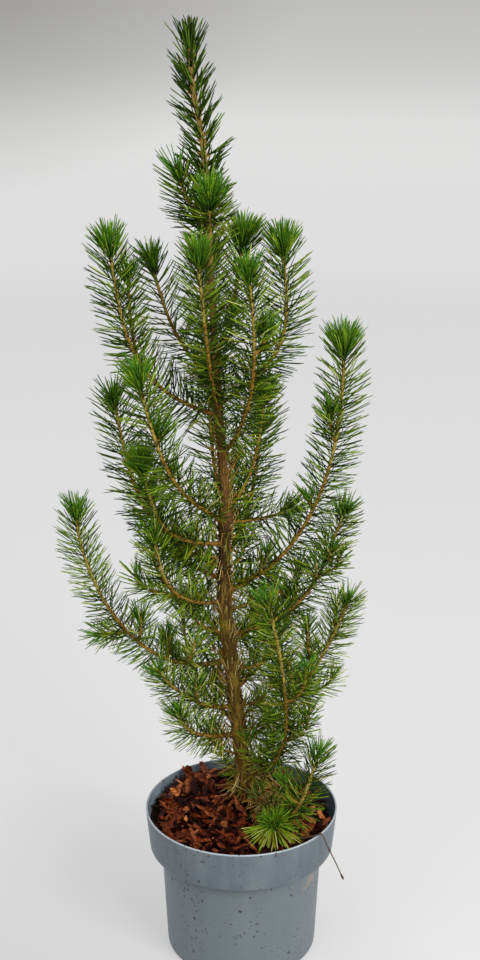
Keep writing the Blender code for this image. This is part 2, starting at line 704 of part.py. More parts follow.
def needle_stem(stem, room, rng):
    """A three-sided stem with needles on its sides and a bud at its tip, as points and triangles."""
    shares = needle_shares(path_length(stem.path), stem.first)
    reach = (shares - shares[0]) / (shares[-1] - shares[0])
    radii = SHOOT_WIDENING * (stem.radius + (SHOOT_TIP_RADIUS - stem.radius) * reach)
    rings, middles = rings_along(stem.path, shares, radii, SHOOT_SIDES, SHOOT_TWIST)
    if stem.seat is not None:
        set_off = along(stem.path, 1 / PATH_STEPS) - stem.path[0]
        set_off /= np.linalg.norm(set_off)
        root, root_middle = rings_along(stem.path, [0.0], [radii[0]], SHOOT_SIDES)
        whole = np.concatenate([root[0], root_middle])
        seated = seated_on_trunk(whole, set_off, stem.seat, stem.radius)
        rings.insert(0, seated[:-1])
        middles = np.concatenate([seated[-1:], middles])
    ahead = stem.path[-1] - stem.path[-2]
    bud = stem.path[-1] + BUD_LENGTH * ahead / np.linalg.norm(ahead)
    skin = skin_faces(len(rings), SHOOT_SIDES)
    bare = 2 * SHOOT_SIDES * stem.bare_rings
    points, faces = grow_needles(rings, middles, skin[bare:], bud, stem.number, room, rng)
    faces = skin[:bare] + faces
    top = (len(rings) - 1) * SHOOT_SIDES
    for side in range(SHOOT_SIDES):
        after = (side + 1) % SHOOT_SIDES
        faces += [(after, side, len(points)), (top + side, top + after, len(points) + 1)]
    return np.concatenate([points, [middles[0]], [bud]]), faces


def sleeve_radii(heights):
    """The radius of the corners of a sleeve's inner side, whose flats stand a gap clear of the trunk."""
    widen = 1 / math.cos(math.pi / LEADER_SIDES)
    return np.array([(trunk_radius(height) + GAP + SLEEVE_SLACK) * widen for height in heights])


def needle_sleeve(leader, number, room, rng):
    """Needles round a stretch of the trunk, on a thin sleeve that stands a gap clear of it."""
    path = np.array([trunk_point(height) for height in np.linspace(leader.base, leader.top, PATH_STEPS + 1)])
    if leader.closed:
        shares = needle_shares(path_length(path), 0.0)
    else:
        shares = np.linspace(0, 1, round(path_length(path) / NEEDLE_SPACING) + 1)
    heights = leader.base + shares * (leader.top - leader.base)
    inner = sleeve_radii(heights)
    outside, middles = rings_along(path, shares, inner + SLEEVE_WALL, LEADER_SIDES)
    inside, _ = rings_along(path, shares, inner, LEADER_SIDES)
    ahead = (path[-1] - path[-2]) / np.linalg.norm(path[-1] - path[-2])
    bud = path[-1] + BUD_LENGTH * ahead
    tip = bud if leader.closed else path[-1] + TUFT_DEPTH * ahead
    skin = skin_faces(len(outside), LEADER_SIDES)
    points, faces = grow_needles(outside, middles, skin, tip, number, room, rng)
    shift = len(points)
    points = np.concatenate([points, *inside])
    faces += [(c + shift, b + shift, a + shift) for a, b, c in skin]
    top = (len(outside) - 1) * LEADER_SIDES
    for side in range(LEADER_SIDES):
        after = (side + 1) % LEADER_SIDES
        faces += [(after, side, shift + side), (after, shift + side, shift + after)]
        if leader.closed:
            faces += [(top + side, top + after, len(points))]
            faces += [(shift + top + after, shift + top + side, len(points) + 1)]
        else:
            faces += [(top + side, top + after, shift + top + side)]
            faces += [(top + after, shift + top + after, shift + top + side)]
    if leader.closed:
        points = np.concatenate([points, [bud], [trunk_point(leader.top) + 2 * GAP * UP]])
    return points, faces


def union_of(name, shapes, material):
    """One closed solid from shapes that overlap, joined by a Boolean union on a collection."""
    body = new_object(name, *shapes[0], material)
    if len(shapes) > 1:
        gathered = bpy.data.collections.new(f"{name}_side_shoots")
        bpy.context.scene.collection.children.link(gathered)
        for number, (points, faces) in enumerate(shapes[1:]):
            side = new_object(f"{name}_side_{number}", points, faces, material)
            bpy.context.scene.collection.objects.unlink(side)
            gathered.objects.link(side)
        join = body.modifiers.new("join", "BOOLEAN")
        join.operation = "UNION"
        join.operand_type = "COLLECTION"
        join.solver = "MANIFOLD"
        join.collection = gathered
        bpy.context.view_layer.objects.active = body
        bpy.ops.object.modifier_apply(modifier=join.name)
        for side in list(gathered.objects):
            bpy.data.objects.remove(side, do_unlink=True)
        bpy.data.collections.remove(gathered)
    return body


# A stem carries needles from first, a length along its path. seat is the height of its foot on the trunk if
# it springs from there, and its first bare_rings rings carry no needles.
Stem = namedtuple("Stem", "mass path first radius seat number bare_rings")


def foliage_stems(paths):
    """The stem of each mass, then its side shoots, each with its own number."""
    stems = []
    for shoot in SHOOTS:
        path = paths[shoot.name]
        number = len(stems) + 1
        if shoot.bare:
            first = shoot.bare * path_length(path) + GAP
            stems.append(Stem(shoot.name, path, first, BOUGH_TIP_RADIUS, None, number, 0))
        else:
            first = clear_of_trunk(shoot, SHOOT_WIDENING * shoot.foot_radius)
            stems.append(Stem(shoot.name, path, first, shoot.foot_radius, shoot.base, number, 1))
        for side_shoot in SIDE_SHOOTS:
            if side_shoot.name == shoot.name:
                number = len(stems) + 1
                side = side_shoot_path(path, side_shoot)
                stems.append(Stem(shoot.name, side, 0.0, SIDE_SHOOT_RADIUS, None, number, 1))
    return stems


def book_limbs(room, paths, stems):
    """Take up the room of the ground, the trunk, the boughs and every stem before any needle grows."""
    heights = np.linspace(TRUNK_FOOT_HEIGHT, TRUNK_BENDS[-1].height, FINE_STEPS)
    trunk = np.array([trunk_point(height) for height in heights])
    radii = np.array([trunk_radius(height) for height in heights])
    room.add(trunk[:-1], trunk[1:], np.c_[radii[:-1], radii[1:]], 0)
    for shoot in SHOOTS:
        if shoot.bare:
            bough = paths[shoot.name][: int(shoot.bare * PATH_STEPS) + 1]
            room.add_path(bough, (shoot.foot_radius, BOUGH_TIP_RADIUS), 0)
    for stem in stems:
        begin = math.ceil(stem.first / path_length(stem.path) * PATH_STEPS)
        radii = SHOOT_WIDENING * np.array([stem.radius, SHOOT_TIP_RADIUS])
        room.add_path(stem.path[begin:], radii, stem.number)
    for place, leader in enumerate(LEADERS):
        heights = np.linspace(leader.base, leader.top, PATH_STEPS)
        sleeve = np.array([trunk_point(height) for height in heights])
        radii = sleeve_radii(heights) + SLEEVE_WALL
        room.add(sleeve[:-1], sleeve[1:], np.c_[radii[:-1], radii[1:]], len(stems) + 1 + place)


def above_the_mulch(room):
    """Take up the room of the mulch and the pot's rim, as rods that lie in them."""
    for across in np.linspace(-RIM_RADIUS, RIM_RADIUS, MULCH_RODS + 2)[1:-1]:
        half = math.sqrt(RIM_RADIUS**2 - across**2)
        rod = np.zeros((MULCH_ROD_STEPS + 1, 3))
        rod[:, 0] = across
        rod[:, 1] = np.linspace(-half, half, MULCH_ROD_STEPS + 1)
        rod[:, 2] = SOIL_HEIGHT - MULCH_ROD_DEPTH
        room.add_path(rod, (MULCH_ROD_RADIUS, MULCH_ROD_RADIUS), 0)
    turn = np.linspace(0, math.tau, POT_SIDES + 1)
    rim = np.c_[RIM_RADIUS * np.cos(turn), RIM_RADIUS * np.sin(turn), np.full(POT_SIDES + 1, POT_HEIGHT)]
    room.add(rim[:-1], rim[1:], np.full((POT_SIDES, 2), RIM_ROD_RADIUS), 0)


def make_foliage(paths, material):
    """Every mass of needles, each kept clear of the limbs and of the masses before it."""
    rng = np.random.default_rng(NEEDLE_SEED)
    room = Room()
    stems = foliage_stems(paths)
    book_limbs(room, paths, stems)
    above_the_mulch(room)
    shapes = {shoot.name: [] for shoot in SHOOTS}
    for stem in stems:
        shapes[stem.mass].append(needle_stem(stem, room, rng))
    for name, parts in shapes.items():
        union_of(f"needles_{name}", parts, material)
    for place, leader in enumerate(LEADERS):
        points, faces = needle_sleeve(leader, len(stems) + 1 + place, room, rng)
        new_object(f"needles_{leader.name}", points, faces, material)


def build():
    """Build the whole plant in its pot."""
    clear_scene()
    make_pot(painted("pot_plastic", *POT_BLUE))
    make_soil(painted("bark_mulch", *MULCH_BROWN))
    make_trunk(painted("trunk_bark", *BARK_BROWN))
    paths = {shoot.name: shoot_path(shoot) for shoot in SHOOTS}
    young_bark = painted("bough_bark", *YOUNG_BARK)
    for shoot in SHOOTS:
        if shoot.bare:
            make_bough(shoot, paths[shoot.name], young_bark)
    make_foliage(paths, painted("needles", *NEEDLE_GREEN))


build()
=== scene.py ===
import math
from collections import namedtuple

import bpy
import numpy as np
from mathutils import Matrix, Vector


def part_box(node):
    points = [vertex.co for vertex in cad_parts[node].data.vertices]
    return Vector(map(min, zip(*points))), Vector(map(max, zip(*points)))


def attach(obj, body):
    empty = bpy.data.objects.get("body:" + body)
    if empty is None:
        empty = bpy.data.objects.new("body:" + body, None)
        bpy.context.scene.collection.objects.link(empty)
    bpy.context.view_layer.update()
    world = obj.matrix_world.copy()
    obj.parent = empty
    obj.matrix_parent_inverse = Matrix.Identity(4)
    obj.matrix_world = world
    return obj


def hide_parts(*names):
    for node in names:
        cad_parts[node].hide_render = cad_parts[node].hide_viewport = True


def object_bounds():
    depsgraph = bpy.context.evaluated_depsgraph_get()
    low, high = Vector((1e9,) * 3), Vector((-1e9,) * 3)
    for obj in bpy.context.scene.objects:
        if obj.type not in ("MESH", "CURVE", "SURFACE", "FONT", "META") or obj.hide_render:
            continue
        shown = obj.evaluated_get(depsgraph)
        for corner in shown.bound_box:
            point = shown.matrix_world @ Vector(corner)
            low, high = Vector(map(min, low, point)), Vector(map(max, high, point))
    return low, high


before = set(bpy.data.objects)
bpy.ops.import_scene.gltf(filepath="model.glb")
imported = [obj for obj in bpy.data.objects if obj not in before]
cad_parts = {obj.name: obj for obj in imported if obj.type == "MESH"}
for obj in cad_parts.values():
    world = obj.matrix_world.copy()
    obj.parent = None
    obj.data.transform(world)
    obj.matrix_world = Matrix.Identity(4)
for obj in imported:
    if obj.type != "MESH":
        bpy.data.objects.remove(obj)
cad_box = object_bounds()

# Pot
# A 19 cm nursery pot, moulded in one piece from thin blue-grey plastic: a deep collar with a rolled lip, a
# sloping ledge, a body that narrows a little to its foot, and a floor with six drainage holes. It is lightly
# scuffed, and flecks of compost have dried on it. Its lip is paler, partly from wear and partly as a painted
# highlight, and the inner wall at the back left is painted paler as painted light.

_, pot_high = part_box("pot")
POT_HEIGHT = pot_high.z
RIM_RADIUS = pot_high.x
LIP_THICKNESS = 0.0020
LIP_DEPTH = 0.004
LIP_ROUND = 0.0011
# How far down the lip is painted paler, partly as wear and partly as a painted highlight.
LIP_WORN_AND_HIGHLIGHT_DEPTH = 0.0022
UNDER_LIP_THICKER = 0.0008
COLLAR_HEIGHT = 0.041
COLLAR_FOOT_RADIUS = 0.091
LEDGE_FALL = 0.005
BODY_TOP_RADIUS = 0.0795
BODY_FOOT_RADIUS = 0.0745
POT_WALL = 0.0016
POT_FLOOR = 0.0022
POT_SIDES = 160
SECTION_STEP = 0.004
CLOSE_TO_AXIS = 0.0001
SHARP_EDGE = math.radians(35)
DRAIN_HOLES = 6
DRAIN_SIDES = 32
DRAIN_RADIUS = 0.006
DRAIN_CIRCLE_RADIUS = 0.052
LEDGE_HEIGHT = POT_HEIGHT - COLLAR_HEIGHT

POT_GREY = (0.068, 0.091, 0.113)
POT_GREY_WORN = (0.115, 0.139, 0.156)
POT_BODY_GREY = (0.096, 0.121, 0.136)
# The lip's pale tone is partly wear and partly a painted highlight.
POT_LIP_WORN_AND_HIGHLIGHT = (0.310, 0.350, 0.380)
# Painted light: the paler tone of the inner wall where it is lit at the back left.
POT_INNER_PAINTED_LIGHT = (0.190, 0.225, 0.270)
DRIED_COMPOST = (0.030, 0.024, 0.018)
POT_STAIN = (0.260, 0.190, 0.140)
POT_ROUGHNESS = 0.42
# Each patch is an ellipsoid: its centre, its radii and, where it is turned, its turn.
STAINED_PATCH = ((0.0680, -0.0430, 0.088), (0.012, 0.016, 0.016), (0, 0, math.radians(-32)))
# Painted light on the inner wall at the back left.
PAINTED_LIGHT_INNER_PATCH = ((-0.062, 0.060, 0.140), (0.075, 0.075, 0.030))
Flecks = namedtuple("Flecks", "scale size share")
SMALL_FLECKS = Flecks(scale=300, size=0.36, share=0.62)
LARGE_FLECKS = Flecks(scale=105, size=0.20, share=0.34)
FLECK_EDGE_SCALE = 420
FLECK_EDGE_REACH = 0.0022


def unit(vectors):
    """Each vector with length one."""
    return vectors / np.linalg.norm(vectors, axis=-1, keepdims=True)


def walk_along(points):
    """How far each point is from the first, as the sum of the straight steps before it."""
    return np.r_[0, np.cumsum(np.linalg.norm(np.diff(points, axis=0), axis=1))]


def read_off(places, walk, rows):
    """The rows read at these places of a walk along them, with straight lines between the rows."""
    return np.stack([np.interp(places, walk, column) for column in rows.T], axis=1)


def circle_of(sides):
    """Turns and the cosine and sine of each, evenly spaced round a full circle."""
    turn = np.arange(sides) * math.tau / sides
    return turn, np.cos(turn), np.sin(turn)


def skins(rings):
    """Points and triangles of many closed skins at once, from an array of bodies x rows x sides x 3.

    Neighbouring rows are joined by two triangles a side, and each end is a fan to the middle of its row. The
    points of a row go round counter-clockwise as seen from where the rows lead, so faces look out.
    """
    bodies, rows, sides, _ = rings.shape
    ends = rings[:, [0, -1]].mean(axis=2)
    points = np.concatenate([rings.reshape(bodies, rows * sides, 3), ends], axis=1)
    a = (np.arange(rows - 1)[:, None] * sides + np.arange(sides)).ravel()
    b = (np.arange(rows - 1)[:, None] * sides + (np.arange(sides) + 1) % sides).ravel()
    walls = np.concatenate([np.c_[a, b, b + sides], np.c_[a, b + sides, a + sides]])
    side = np.arange(sides)
    after = (side + 1) % sides
    first = np.full(sides, rows * sides)
    top = (rows - 1) * sides
    fans = np.concatenate([np.c_[first, after, side], np.c_[first + 1, top + side, top + after]])
    faces = np.concatenate([walls, fans])
    count = rows * sides + 2
    every = faces[None] + (np.arange(bodies) * count)[:, None, None]
    return points.reshape(-1, 3), every.reshape(-1, 3)


def piece_of(name, points, faces, material, smooth=True):
    """An object at the origin whose mesh is these points and triangles."""
    mesh = bpy.data.meshes.new(name)
    mesh.vertices.add(len(points))
    mesh.vertices.foreach_set("co", np.ascontiguousarray(points, np.float32).ravel())
    mesh.loops.add(faces.size)
    mesh.loops.foreach_set("vertex_index", np.ascontiguousarray(faces, np.int32).ravel())
    mesh.polygons.add(len(faces))
    mesh.polygons.foreach_set("loop_start", np.arange(0, faces.size, 3, dtype=np.int32))
    mesh.polygons.foreach_set("use_smooth", np.full(len(faces), smooth))
    mesh.update(calc_edges=True)
    mesh.materials.append(material)
    piece = bpy.data.objects.new(name, mesh)
    bpy.context.scene.collection.objects.link(piece)
    return piece


def softened(corners, steps=6):
    """Section points whose corners are rounded: each corner is a quadratic curve between the points that lie
    its own rounding away along both of its legs. A corner is a radius, a height and a rounding."""
    places = np.array(corners)[:, :2]
    rounding = np.array(corners)[:, 2:]
    before = np.roll(places, 1, axis=0) - places
    after = np.roll(places, -1, axis=0) - places
    start = places + unit(before) * rounding
    end = places + unit(after) * rounding
    t = np.linspace(0, 1, steps)[None, :, None]
    curve = (1 - t) ** 2 * start[:, None] + 2 * (1 - t) * t * places[:, None] + t**2 * end[:, None]
    return curve.reshape(-1, 2)


def evened(section, step):
    """The section with more points on its straight stretches, at least one every step of its length."""
    walk = walk_along(section)
    apart = np.r_[True, np.diff(walk) > 1e-7]
    places = np.unique(np.r_[walk[apart], np.arange(0, walk[-1], step)])
    return read_off(places, walk[apart], section[apart])


def turned(section, sides):
    """Rows of points from a section of radii and heights, turned about the upright axis."""
    _, cosine, sine = circle_of(sides)
    flat = section[:, :1, None] * np.stack([cosine, sine], axis=1)[None]
    height = np.broadcast_to(section[:, 1, None, None], (len(section), sides, 1))
    return np.concatenate([flat, height], axis=2)[None]


class Finish:
    """A surface finish on Object coordinates, put together from noise, spots, ramps, mixes and bumps."""

    def __init__(self, name, colour, roughness, sheen=0.5):
        self.material = bpy.data.materials.new(name)
        self.material.use_nodes = True
        self.tree = self.material.node_tree
        self.shader = self.tree.nodes["Principled BSDF"]
        self.feed(self.shader.inputs["Base Color"], colour)
        self.feed(self.shader.inputs["Roughness"], roughness)
        self.feed(self.shader.inputs["Specular IOR Level"], sheen)
        self.place = self.tree.nodes.new("ShaderNodeTexCoord").outputs["Object"]

    def feed(self, socket, value):
        """Link a socket to another's output, or set it to a plain value. A plain colour is made opaque."""
        if isinstance(value, bpy.types.NodeSocket):
            self.tree.links.new(value, socket)
        elif socket.type == "RGBA":
            socket.default_value = (*value, 1)
        else:
            socket.default_value = value

    def node(self, kind, sockets, **settings):
        """A node of one kind, with its own settings, and then its sockets fed by name or number."""
        made = self.tree.nodes.new("ShaderNode" + kind)
        for name, value in settings.items():
            setattr(made, name, value)
        for name, value in sockets.items():
            self.feed(made.inputs[name], value)
        return made

    def stretched(self, scale):
        """Object coordinates scaled differently along each axis."""
        return self.node("Mapping", {"Vector": self.place, "Scale": scale}).outputs["Vector"]

    def noise(self, scale, detail=3.0, harshness=0.55, place=None):
        """Cloudy noise from 0 to 1."""
        sockets = {"Vector": place or self.place, "Scale": scale, "Detail": detail, "Roughness": harshness}
        return self.node("TexNoise", sockets).outputs["Fac"]

    def spots(self, flecks, place):
        """Round spots, 1 inside and 0 outside: this share of the cells holds one, each of its own size."""
        cells = self.node("TexVoronoi", {"Vector": place, "Scale": flecks.scale})
        split = self.node("SeparateColor", {"Color": cells.outputs["Color"]})
        chosen = self.maths("LESS_THAN", split.outputs["Red"], flecks.share)
        own_size = self.maths("MULTIPLY", split.outputs["Green"], flecks.size)
        inside = self.maths("LESS_THAN", cells.outputs["Distance"], own_size)
        return self.maths("MULTIPLY", chosen, inside)

    def bent_place(self, scale, reach):
        """Object coordinates shifted by up to this reach, so that what is read there has ragged edges."""
        noise = self.node("TexNoise", {"Vector": self.place, "Scale": scale})
        sockets = {0: noise.outputs["Color"], 1: (2 * reach, 2 * reach, 2 * reach), 2: self.place}
        return self.node("VectorMath", sockets, operation="MULTIPLY_ADD").outputs[0]

    def maths(self, operation, a, b):
        """One sum on two values."""
        return self.node("Math", {0: a, 1: b}, operation=operation).outputs[0]

    def ramp(self, value, *stops):
        """A value read as a grey or a colour, from stops of a place and what stands there."""
        ramp = self.node("ValToRGB", {"Fac": value})
        while len(ramp.color_ramp.elements) < len(stops):
            ramp.color_ramp.elements.new(0.5)
        for element, (place, what) in zip(ramp.color_ramp.elements, stops):
            element.position = place
            element.color = (what, what, what, 1) if isinstance(what, float) else (*what, 1)
        return ramp.outputs["Color"]

    def between(self, value, low, high):
        """0 up to the low value and 1 from the high one on, with a straight slope between them."""
        return self.ramp(value, (low, 0.0), (high, 1.0))

    def patchy(self, value, scale, detail, low, high):
        """A value that is kept only where noise of this scale is high."""
        return self.maths("MULTIPLY", value, self.between(self.noise(scale, detail), low, high))

    def mix(self, share, a, b):
        """Colour a turning into colour b."""
        return self.node("Mix", {"Factor": share, "A": a, "B": b}, data_type="RGBA").outputs["Result"]

    def height_of_place(self, low, high):
        """0 at one height and 1 at another."""
        split = self.node("SeparateXYZ", {"Vector": self.place})
        sockets = {"Value": split.outputs["Z"], "From Min": low, "From Max": high}
        return self.node("MapRange", sockets).outputs["Result"]

    def near(self, centre, radii, turn=(0, 0, 0)):
        """1 in the middle of an ellipsoid, falling to 0 at its skin."""
        sockets = {"Vector": self.place, "Location": centre, "Rotation": turn, "Scale": radii}
        mapping = self.node("Mapping", sockets, vector_type="TEXTURE")
        sockets = {"Vector": mapping.outputs["Vector"]}
        return self.node("TexGradient", sockets, gradient_type="SPHERICAL").outputs["Fac"]

    def colour(self, socket):
        """Give the surface this colour."""
        self.feed(self.shader.inputs["Base Color"], socket)

    def rough(self, socket):
        """Give the surface this roughness."""
        self.feed(self.shader.inputs["Roughness"], socket)

    def bumped(self, *layers):
        """Raise the surface by layers of a value, a height in metres and a strength."""
        below = {}
        for value, height, strength in layers:
            bump = self.node("Bump", {"Height": value, "Distance": height, "Strength": strength, **below})
            below = {"Normal": bump.outputs["Normal"]}
        self.feed(self.shader.inputs["Normal"], below["Normal"])


pot_finish = Finish("pot_plastic", POT_GREY, POT_ROUGHNESS)
scuffs = pot_finish.noise(60, 4.0, 0.6, pot_finish.stretched((1, 1, 0.25)))
clouds = pot_finish.noise(14, 3.0)
worn = pot_finish.between(pot_finish.maths("MULTIPLY", scuffs, clouds), 0.16, 0.42)
on_collar = pot_finish.between(pot_finish.height_of_place(LEDGE_HEIGHT - LEDGE_FALL, LEDGE_HEIGHT), 0.0, 1.0)
# The top of the lip is painted paler: partly wear, partly a painted highlight.
lip_wear_and_highlight = pot_finish.between(pot_finish.height_of_place(POT_HEIGHT - LIP_WORN_AND_HIGHLIGHT_DEPTH, POT_HEIGHT), 0.25, 0.85)
stained = pot_finish.patchy(pot_finish.near(*STAINED_PATCH), 160, 3.0, 0.40, 0.62)
# Painted light: the inner wall at the back left is painted paler.
inner_painted_light = pot_finish.between(pot_finish.near(*PAINTED_LIGHT_INNER_PATCH), 0.0, 0.4)
ragged = pot_finish.bent_place(FLECK_EDGE_SCALE, FLECK_EDGE_REACH)
small_flecks = pot_finish.patchy(pot_finish.spots(SMALL_FLECKS, ragged), 26, 2.0, 0.47, 0.54)
dirt = pot_finish.maths("MAXIMUM", small_flecks, pot_finish.spots(LARGE_FLECKS, ragged))
pot_tone = pot_finish.mix(on_collar, POT_BODY_GREY, POT_GREY)
for share, laid_on in (
    (worn, POT_GREY_WORN),
    (lip_wear_and_highlight, POT_LIP_WORN_AND_HIGHLIGHT),
    (stained, POT_STAIN),
    (inner_painted_light, POT_INNER_PAINTED_LIGHT),
    (dirt, DRIED_COMPOST),
):
    pot_tone = pot_finish.mix(share, pot_tone, laid_on)
pot_finish.colour(pot_tone)
pot_finish.rough(pot_finish.ramp(scuffs, (0.30, 0.36), (0.70, 0.52)))
pot_finish.bumped((pot_finish.noise(900, 2.0), 0.0001, 0.25), (dirt, 0.0003, 0.8))

pot_section = evened(
    softened(
        [
            (CLOSE_TO_AXIS, 0.0, 0.0),
            (BODY_FOOT_RADIUS, 0.0, 0.0035),
            (BODY_TOP_RADIUS, LEDGE_HEIGHT - LEDGE_FALL, 0.0030),
            (COLLAR_FOOT_RADIUS, LEDGE_HEIGHT, 0.0022),
            (RIM_RADIUS, POT_HEIGHT, LIP_ROUND),
            (RIM_RADIUS - LIP_THICKNESS, POT_HEIGHT, LIP_ROUND),
            (RIM_RADIUS - LIP_THICKNESS, POT_HEIGHT - LIP_DEPTH, 0.0010),
            (RIM_RADIUS - POT_WALL - UNDER_LIP_THICKER, POT_HEIGHT - 2 * LIP_DEPTH, 0.0010),
            (COLLAR_FOOT_RADIUS - POT_WALL, LEDGE_HEIGHT + POT_WALL, 0.0020),
            (BODY_TOP_RADIUS - POT_WALL, LEDGE_HEIGHT - LEDGE_FALL + POT_WALL, 0.0030),
            (BODY_FOOT_RADIUS - POT_WALL, POT_FLOOR, 0.0030),
            (CLOSE_TO_AXIS, POT_FLOOR, 0.0),
        ]
    ),
    SECTION_STEP,
)
pot = piece_of("nursery_pot", *skins(turned(pot_section, POT_SIDES)), pot_finish.material)

drain_section = np.array([(DRAIN_RADIUS, -POT_FLOOR), (DRAIN_RADIUS, 2 * POT_FLOOR)])
turn, cosine, sine = circle_of(DRAIN_HOLES)
drain_places = DRAIN_CIRCLE_RADIUS * np.stack([cosine, sine, 0 * turn], axis=1)
drain_rods = turned(drain_section, DRAIN_SIDES) + drain_places[:, None, None]
cutter = piece_of("drain_cutter", *skins(drain_rods), pot_finish.material, smooth=False)
holes = pot.modifiers.new("drain_holes", "BOOLEAN")
holes.operation = "DIFFERENCE"
holes.object = cutter
bpy.context.view_layer.objects.active = pot
bpy.ops.object.modifier_apply(modifier=holes.name)
bpy.data.objects.remove(cutter, do_unlink=True)
pot.data.set_sharp_from_angle(angle=SHARP_EDGE)
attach(pot, "root")
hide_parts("pot")

# Compost
# Dark, damp potting compost that fills the pot to a little under its rim. Its top is crumbly and uneven: it
# has sunk by the wall at the left and right, and is heaped up at the back and a little at the front.

soil_low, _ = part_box("soil")
TRUNK_FOOT = (0.0075, 0.0240)
COMPOST_TOP = 0.1338
COMPOST_MOUND = 0.0065
COMPOST_MOUND_RADIUS = 0.020
COMPOST_RINGS = 70
COMPOST_SIDES = 180
COMPOST_GAP = 0.0003
LUMP_LENGTH = 0.0022
LUMP_LAYERS = 5
LUMP_WAVES = 5
LUMP_HEIGHT = 0.0026
LUMPS_FLATTEN_AT_WALL = 12
Hollow = namedtuple("Hollow", "side back spread depth")
HOLLOWS = (
    Hollow(-0.072, -0.022, 0.026, 0.011),
    Hollow(0.078, 0.012, 0.028, 0.011),
    Hollow(-0.045, 0.060, 0.040, -0.0060),
    Hollow(0.020, -0.080, 0.030, -0.0020),
)
COMPOST_BROWN = (0.008, 0.003, 0.002)
COMPOST_CRUMB = (0.034, 0.014, 0.007)


def inside_radius(height):
    """The inside radius of the pot at a height, read off its section."""
    inner = pot_section[pot_section[:, 0] > BODY_FOOT_RADIUS - 2 * POT_WALL]
    inner = inner[np.argmax(inner[:, 1]) + 1 :][::-1]
    return np.interp(height, inner[:, 1], inner[:, 0])


def bed(x, y):
    """Height of the compost: level, raised round the trunk's foot, and lower by each hollow's depth. A depth
    below zero is a heap."""
    off = np.hypot(x - TRUNK_FOOT[0], y - TRUNK_FOOT[1])
    height = COMPOST_TOP + COMPOST_MOUND * np.exp(-((off / COMPOST_MOUND_RADIUS) ** 2))
    for hollow in HOLLOWS:
        away = np.hypot(x - hollow.side, y - hollow.back)
        height = height - hollow.depth * np.exp(-((away / hollow.spread) ** 2))
    return height


def ripples(x, y, rng):
    """Uneven ground from -1 to 1: the sum of plane waves in random directions. Each layer's waves are half as
    long and half as high as those of the layer before it."""
    total = np.zeros_like(x)
    for layer in range(LUMP_LAYERS):
        for _ in range(LUMP_WAVES):
            turn, shift = rng.uniform(0, math.tau, 2)
            wave = math.tau / (LUMP_LENGTH * 2 ** (LUMP_LAYERS - 1 - layer))
            total = total + np.sin((x * math.cos(turn) + y * math.sin(turn)) * wave + shift) / 2**layer
    return total / np.abs(total).max()


compost_rng = np.random.default_rng(21)
_, cosine, sine = circle_of(COMPOST_SIDES)
share = np.linspace(0, 1, COMPOST_RINGS + 1)[1:][::-1]
top_radius = inside_radius(COMPOST_TOP) - COMPOST_GAP
top_x = share[:, None] * top_radius * cosine
top_y = share[:, None] * top_radius * sine
lumps = ripples(top_x, top_y, compost_rng) * LUMP_HEIGHT
top_z = bed(top_x, top_y) + lumps * np.minimum(1, (1 - share[:, None]) * LUMPS_FLATTEN_AT_WALL)
wall_heights = np.array([soil_low.z, 0.050, LEDGE_HEIGHT - LEDGE_FALL, LEDGE_HEIGHT + 0.001])
wall_radii = inside_radius(wall_heights) - COMPOST_GAP
wall = turned(np.c_[wall_radii, wall_heights], COMPOST_SIDES)[0]
compost_rows = np.concatenate([wall, np.stack([top_x, top_y, top_z], axis=2)])
compost_finish = Finish("compost", COMPOST_BROWN, 0.95, sheen=0.1)
grit = compost_finish.noise(420, 4.0, 0.7)
crumbs = compost_finish.between(grit, 0.45, 0.75)
compost_finish.colour(compost_finish.mix(crumbs, COMPOST_BROWN, COMPOST_CRUMB))
compost_finish.bumped((grit, 0.0012, 0.9), (compost_finish.noise(1500, 2.0), 0.0004, 0.6))
compost = piece_of("compost", *skins(compost_rows[None]), compost_finish.material)
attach(compost, "root")
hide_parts("soil")

# Bark mulch
# Broken pine bark, a few millimetres to 3 cm across, strewn over the compost: red-brown inside, nearly black
# where it is wet, orange where it has just split. The lowest chips are also painted nearly black, as painted
# shade in the gaps. Flakes lie flat and lumps stand on edge.

CHIP_COUNT = 820
CHIP_ROWS = 9
CHIP_SIDES = 8
CHIP_CLEAR_OF_TRUNK = 0.012
CHIP_MIDDLE_TO_WALL = 0.009
CHIP_END_TO_WALL = 0.001
# Half of a chip's length, width and thickness, from the least to the most.
CHIP_HALF_SIZES = ((0.0045, 0.0165), (0.0014, 0.0042), (0.0007, 0.0018))
CHIP_BLUNTNESS = 0.62
CHIP_SQUARENESS = 0.62
CHIP_CURL = 0.16
CHIP_ABOVE_BED = (0.0005, 0.0110)
# Chips lower than this take the first, nearly black tone as painted shade.
CHIPS_SHADED_BELOW = 0.0042
ON_EDGE_SHARE = 0.3
CHIP_SHARP_EDGE = math.radians(48)
ChipTone = namedtuple("ChipTone", "dark light share")
CHIP_TONES = {
    # The first tone is both wet bark, dealt at random, and painted shade on the lowest chips.
    "wet": ChipTone((0.003, 0.0004, 0.0002), (0.024, 0.0032, 0.0010), 0.36),
    "red": ChipTone((0.020, 0.0030, 0.0008), (0.185, 0.034, 0.0090), 0.42),
    "brown": ChipTone((0.060, 0.013, 0.0040), (0.300, 0.088, 0.030), 0.16),
    "split": ChipTone((0.190, 0.044, 0.010), (0.560, 0.200, 0.060), 0.06),
}


def rotations(yaw, pitch, roll):
    """Turning matrices: roll about the chip's own length, then pitch, then yaw about the upright."""
    cy, sy, cp, sp, cr, sr = (f(a) for a in (yaw, pitch, roll) for f in (np.cos, np.sin))
    rows = [
        [cy * cp, cy * sp * sr - sy * cr, cy * sp * cr + sy * sr],
        [sy * cp, sy * sp * sr + cy * cr, sy * sp * cr - cy * sr],
        [-sp, cp * sr, cp * cr],
    ]
    return np.moveaxis(np.array(rows), 2, 0)


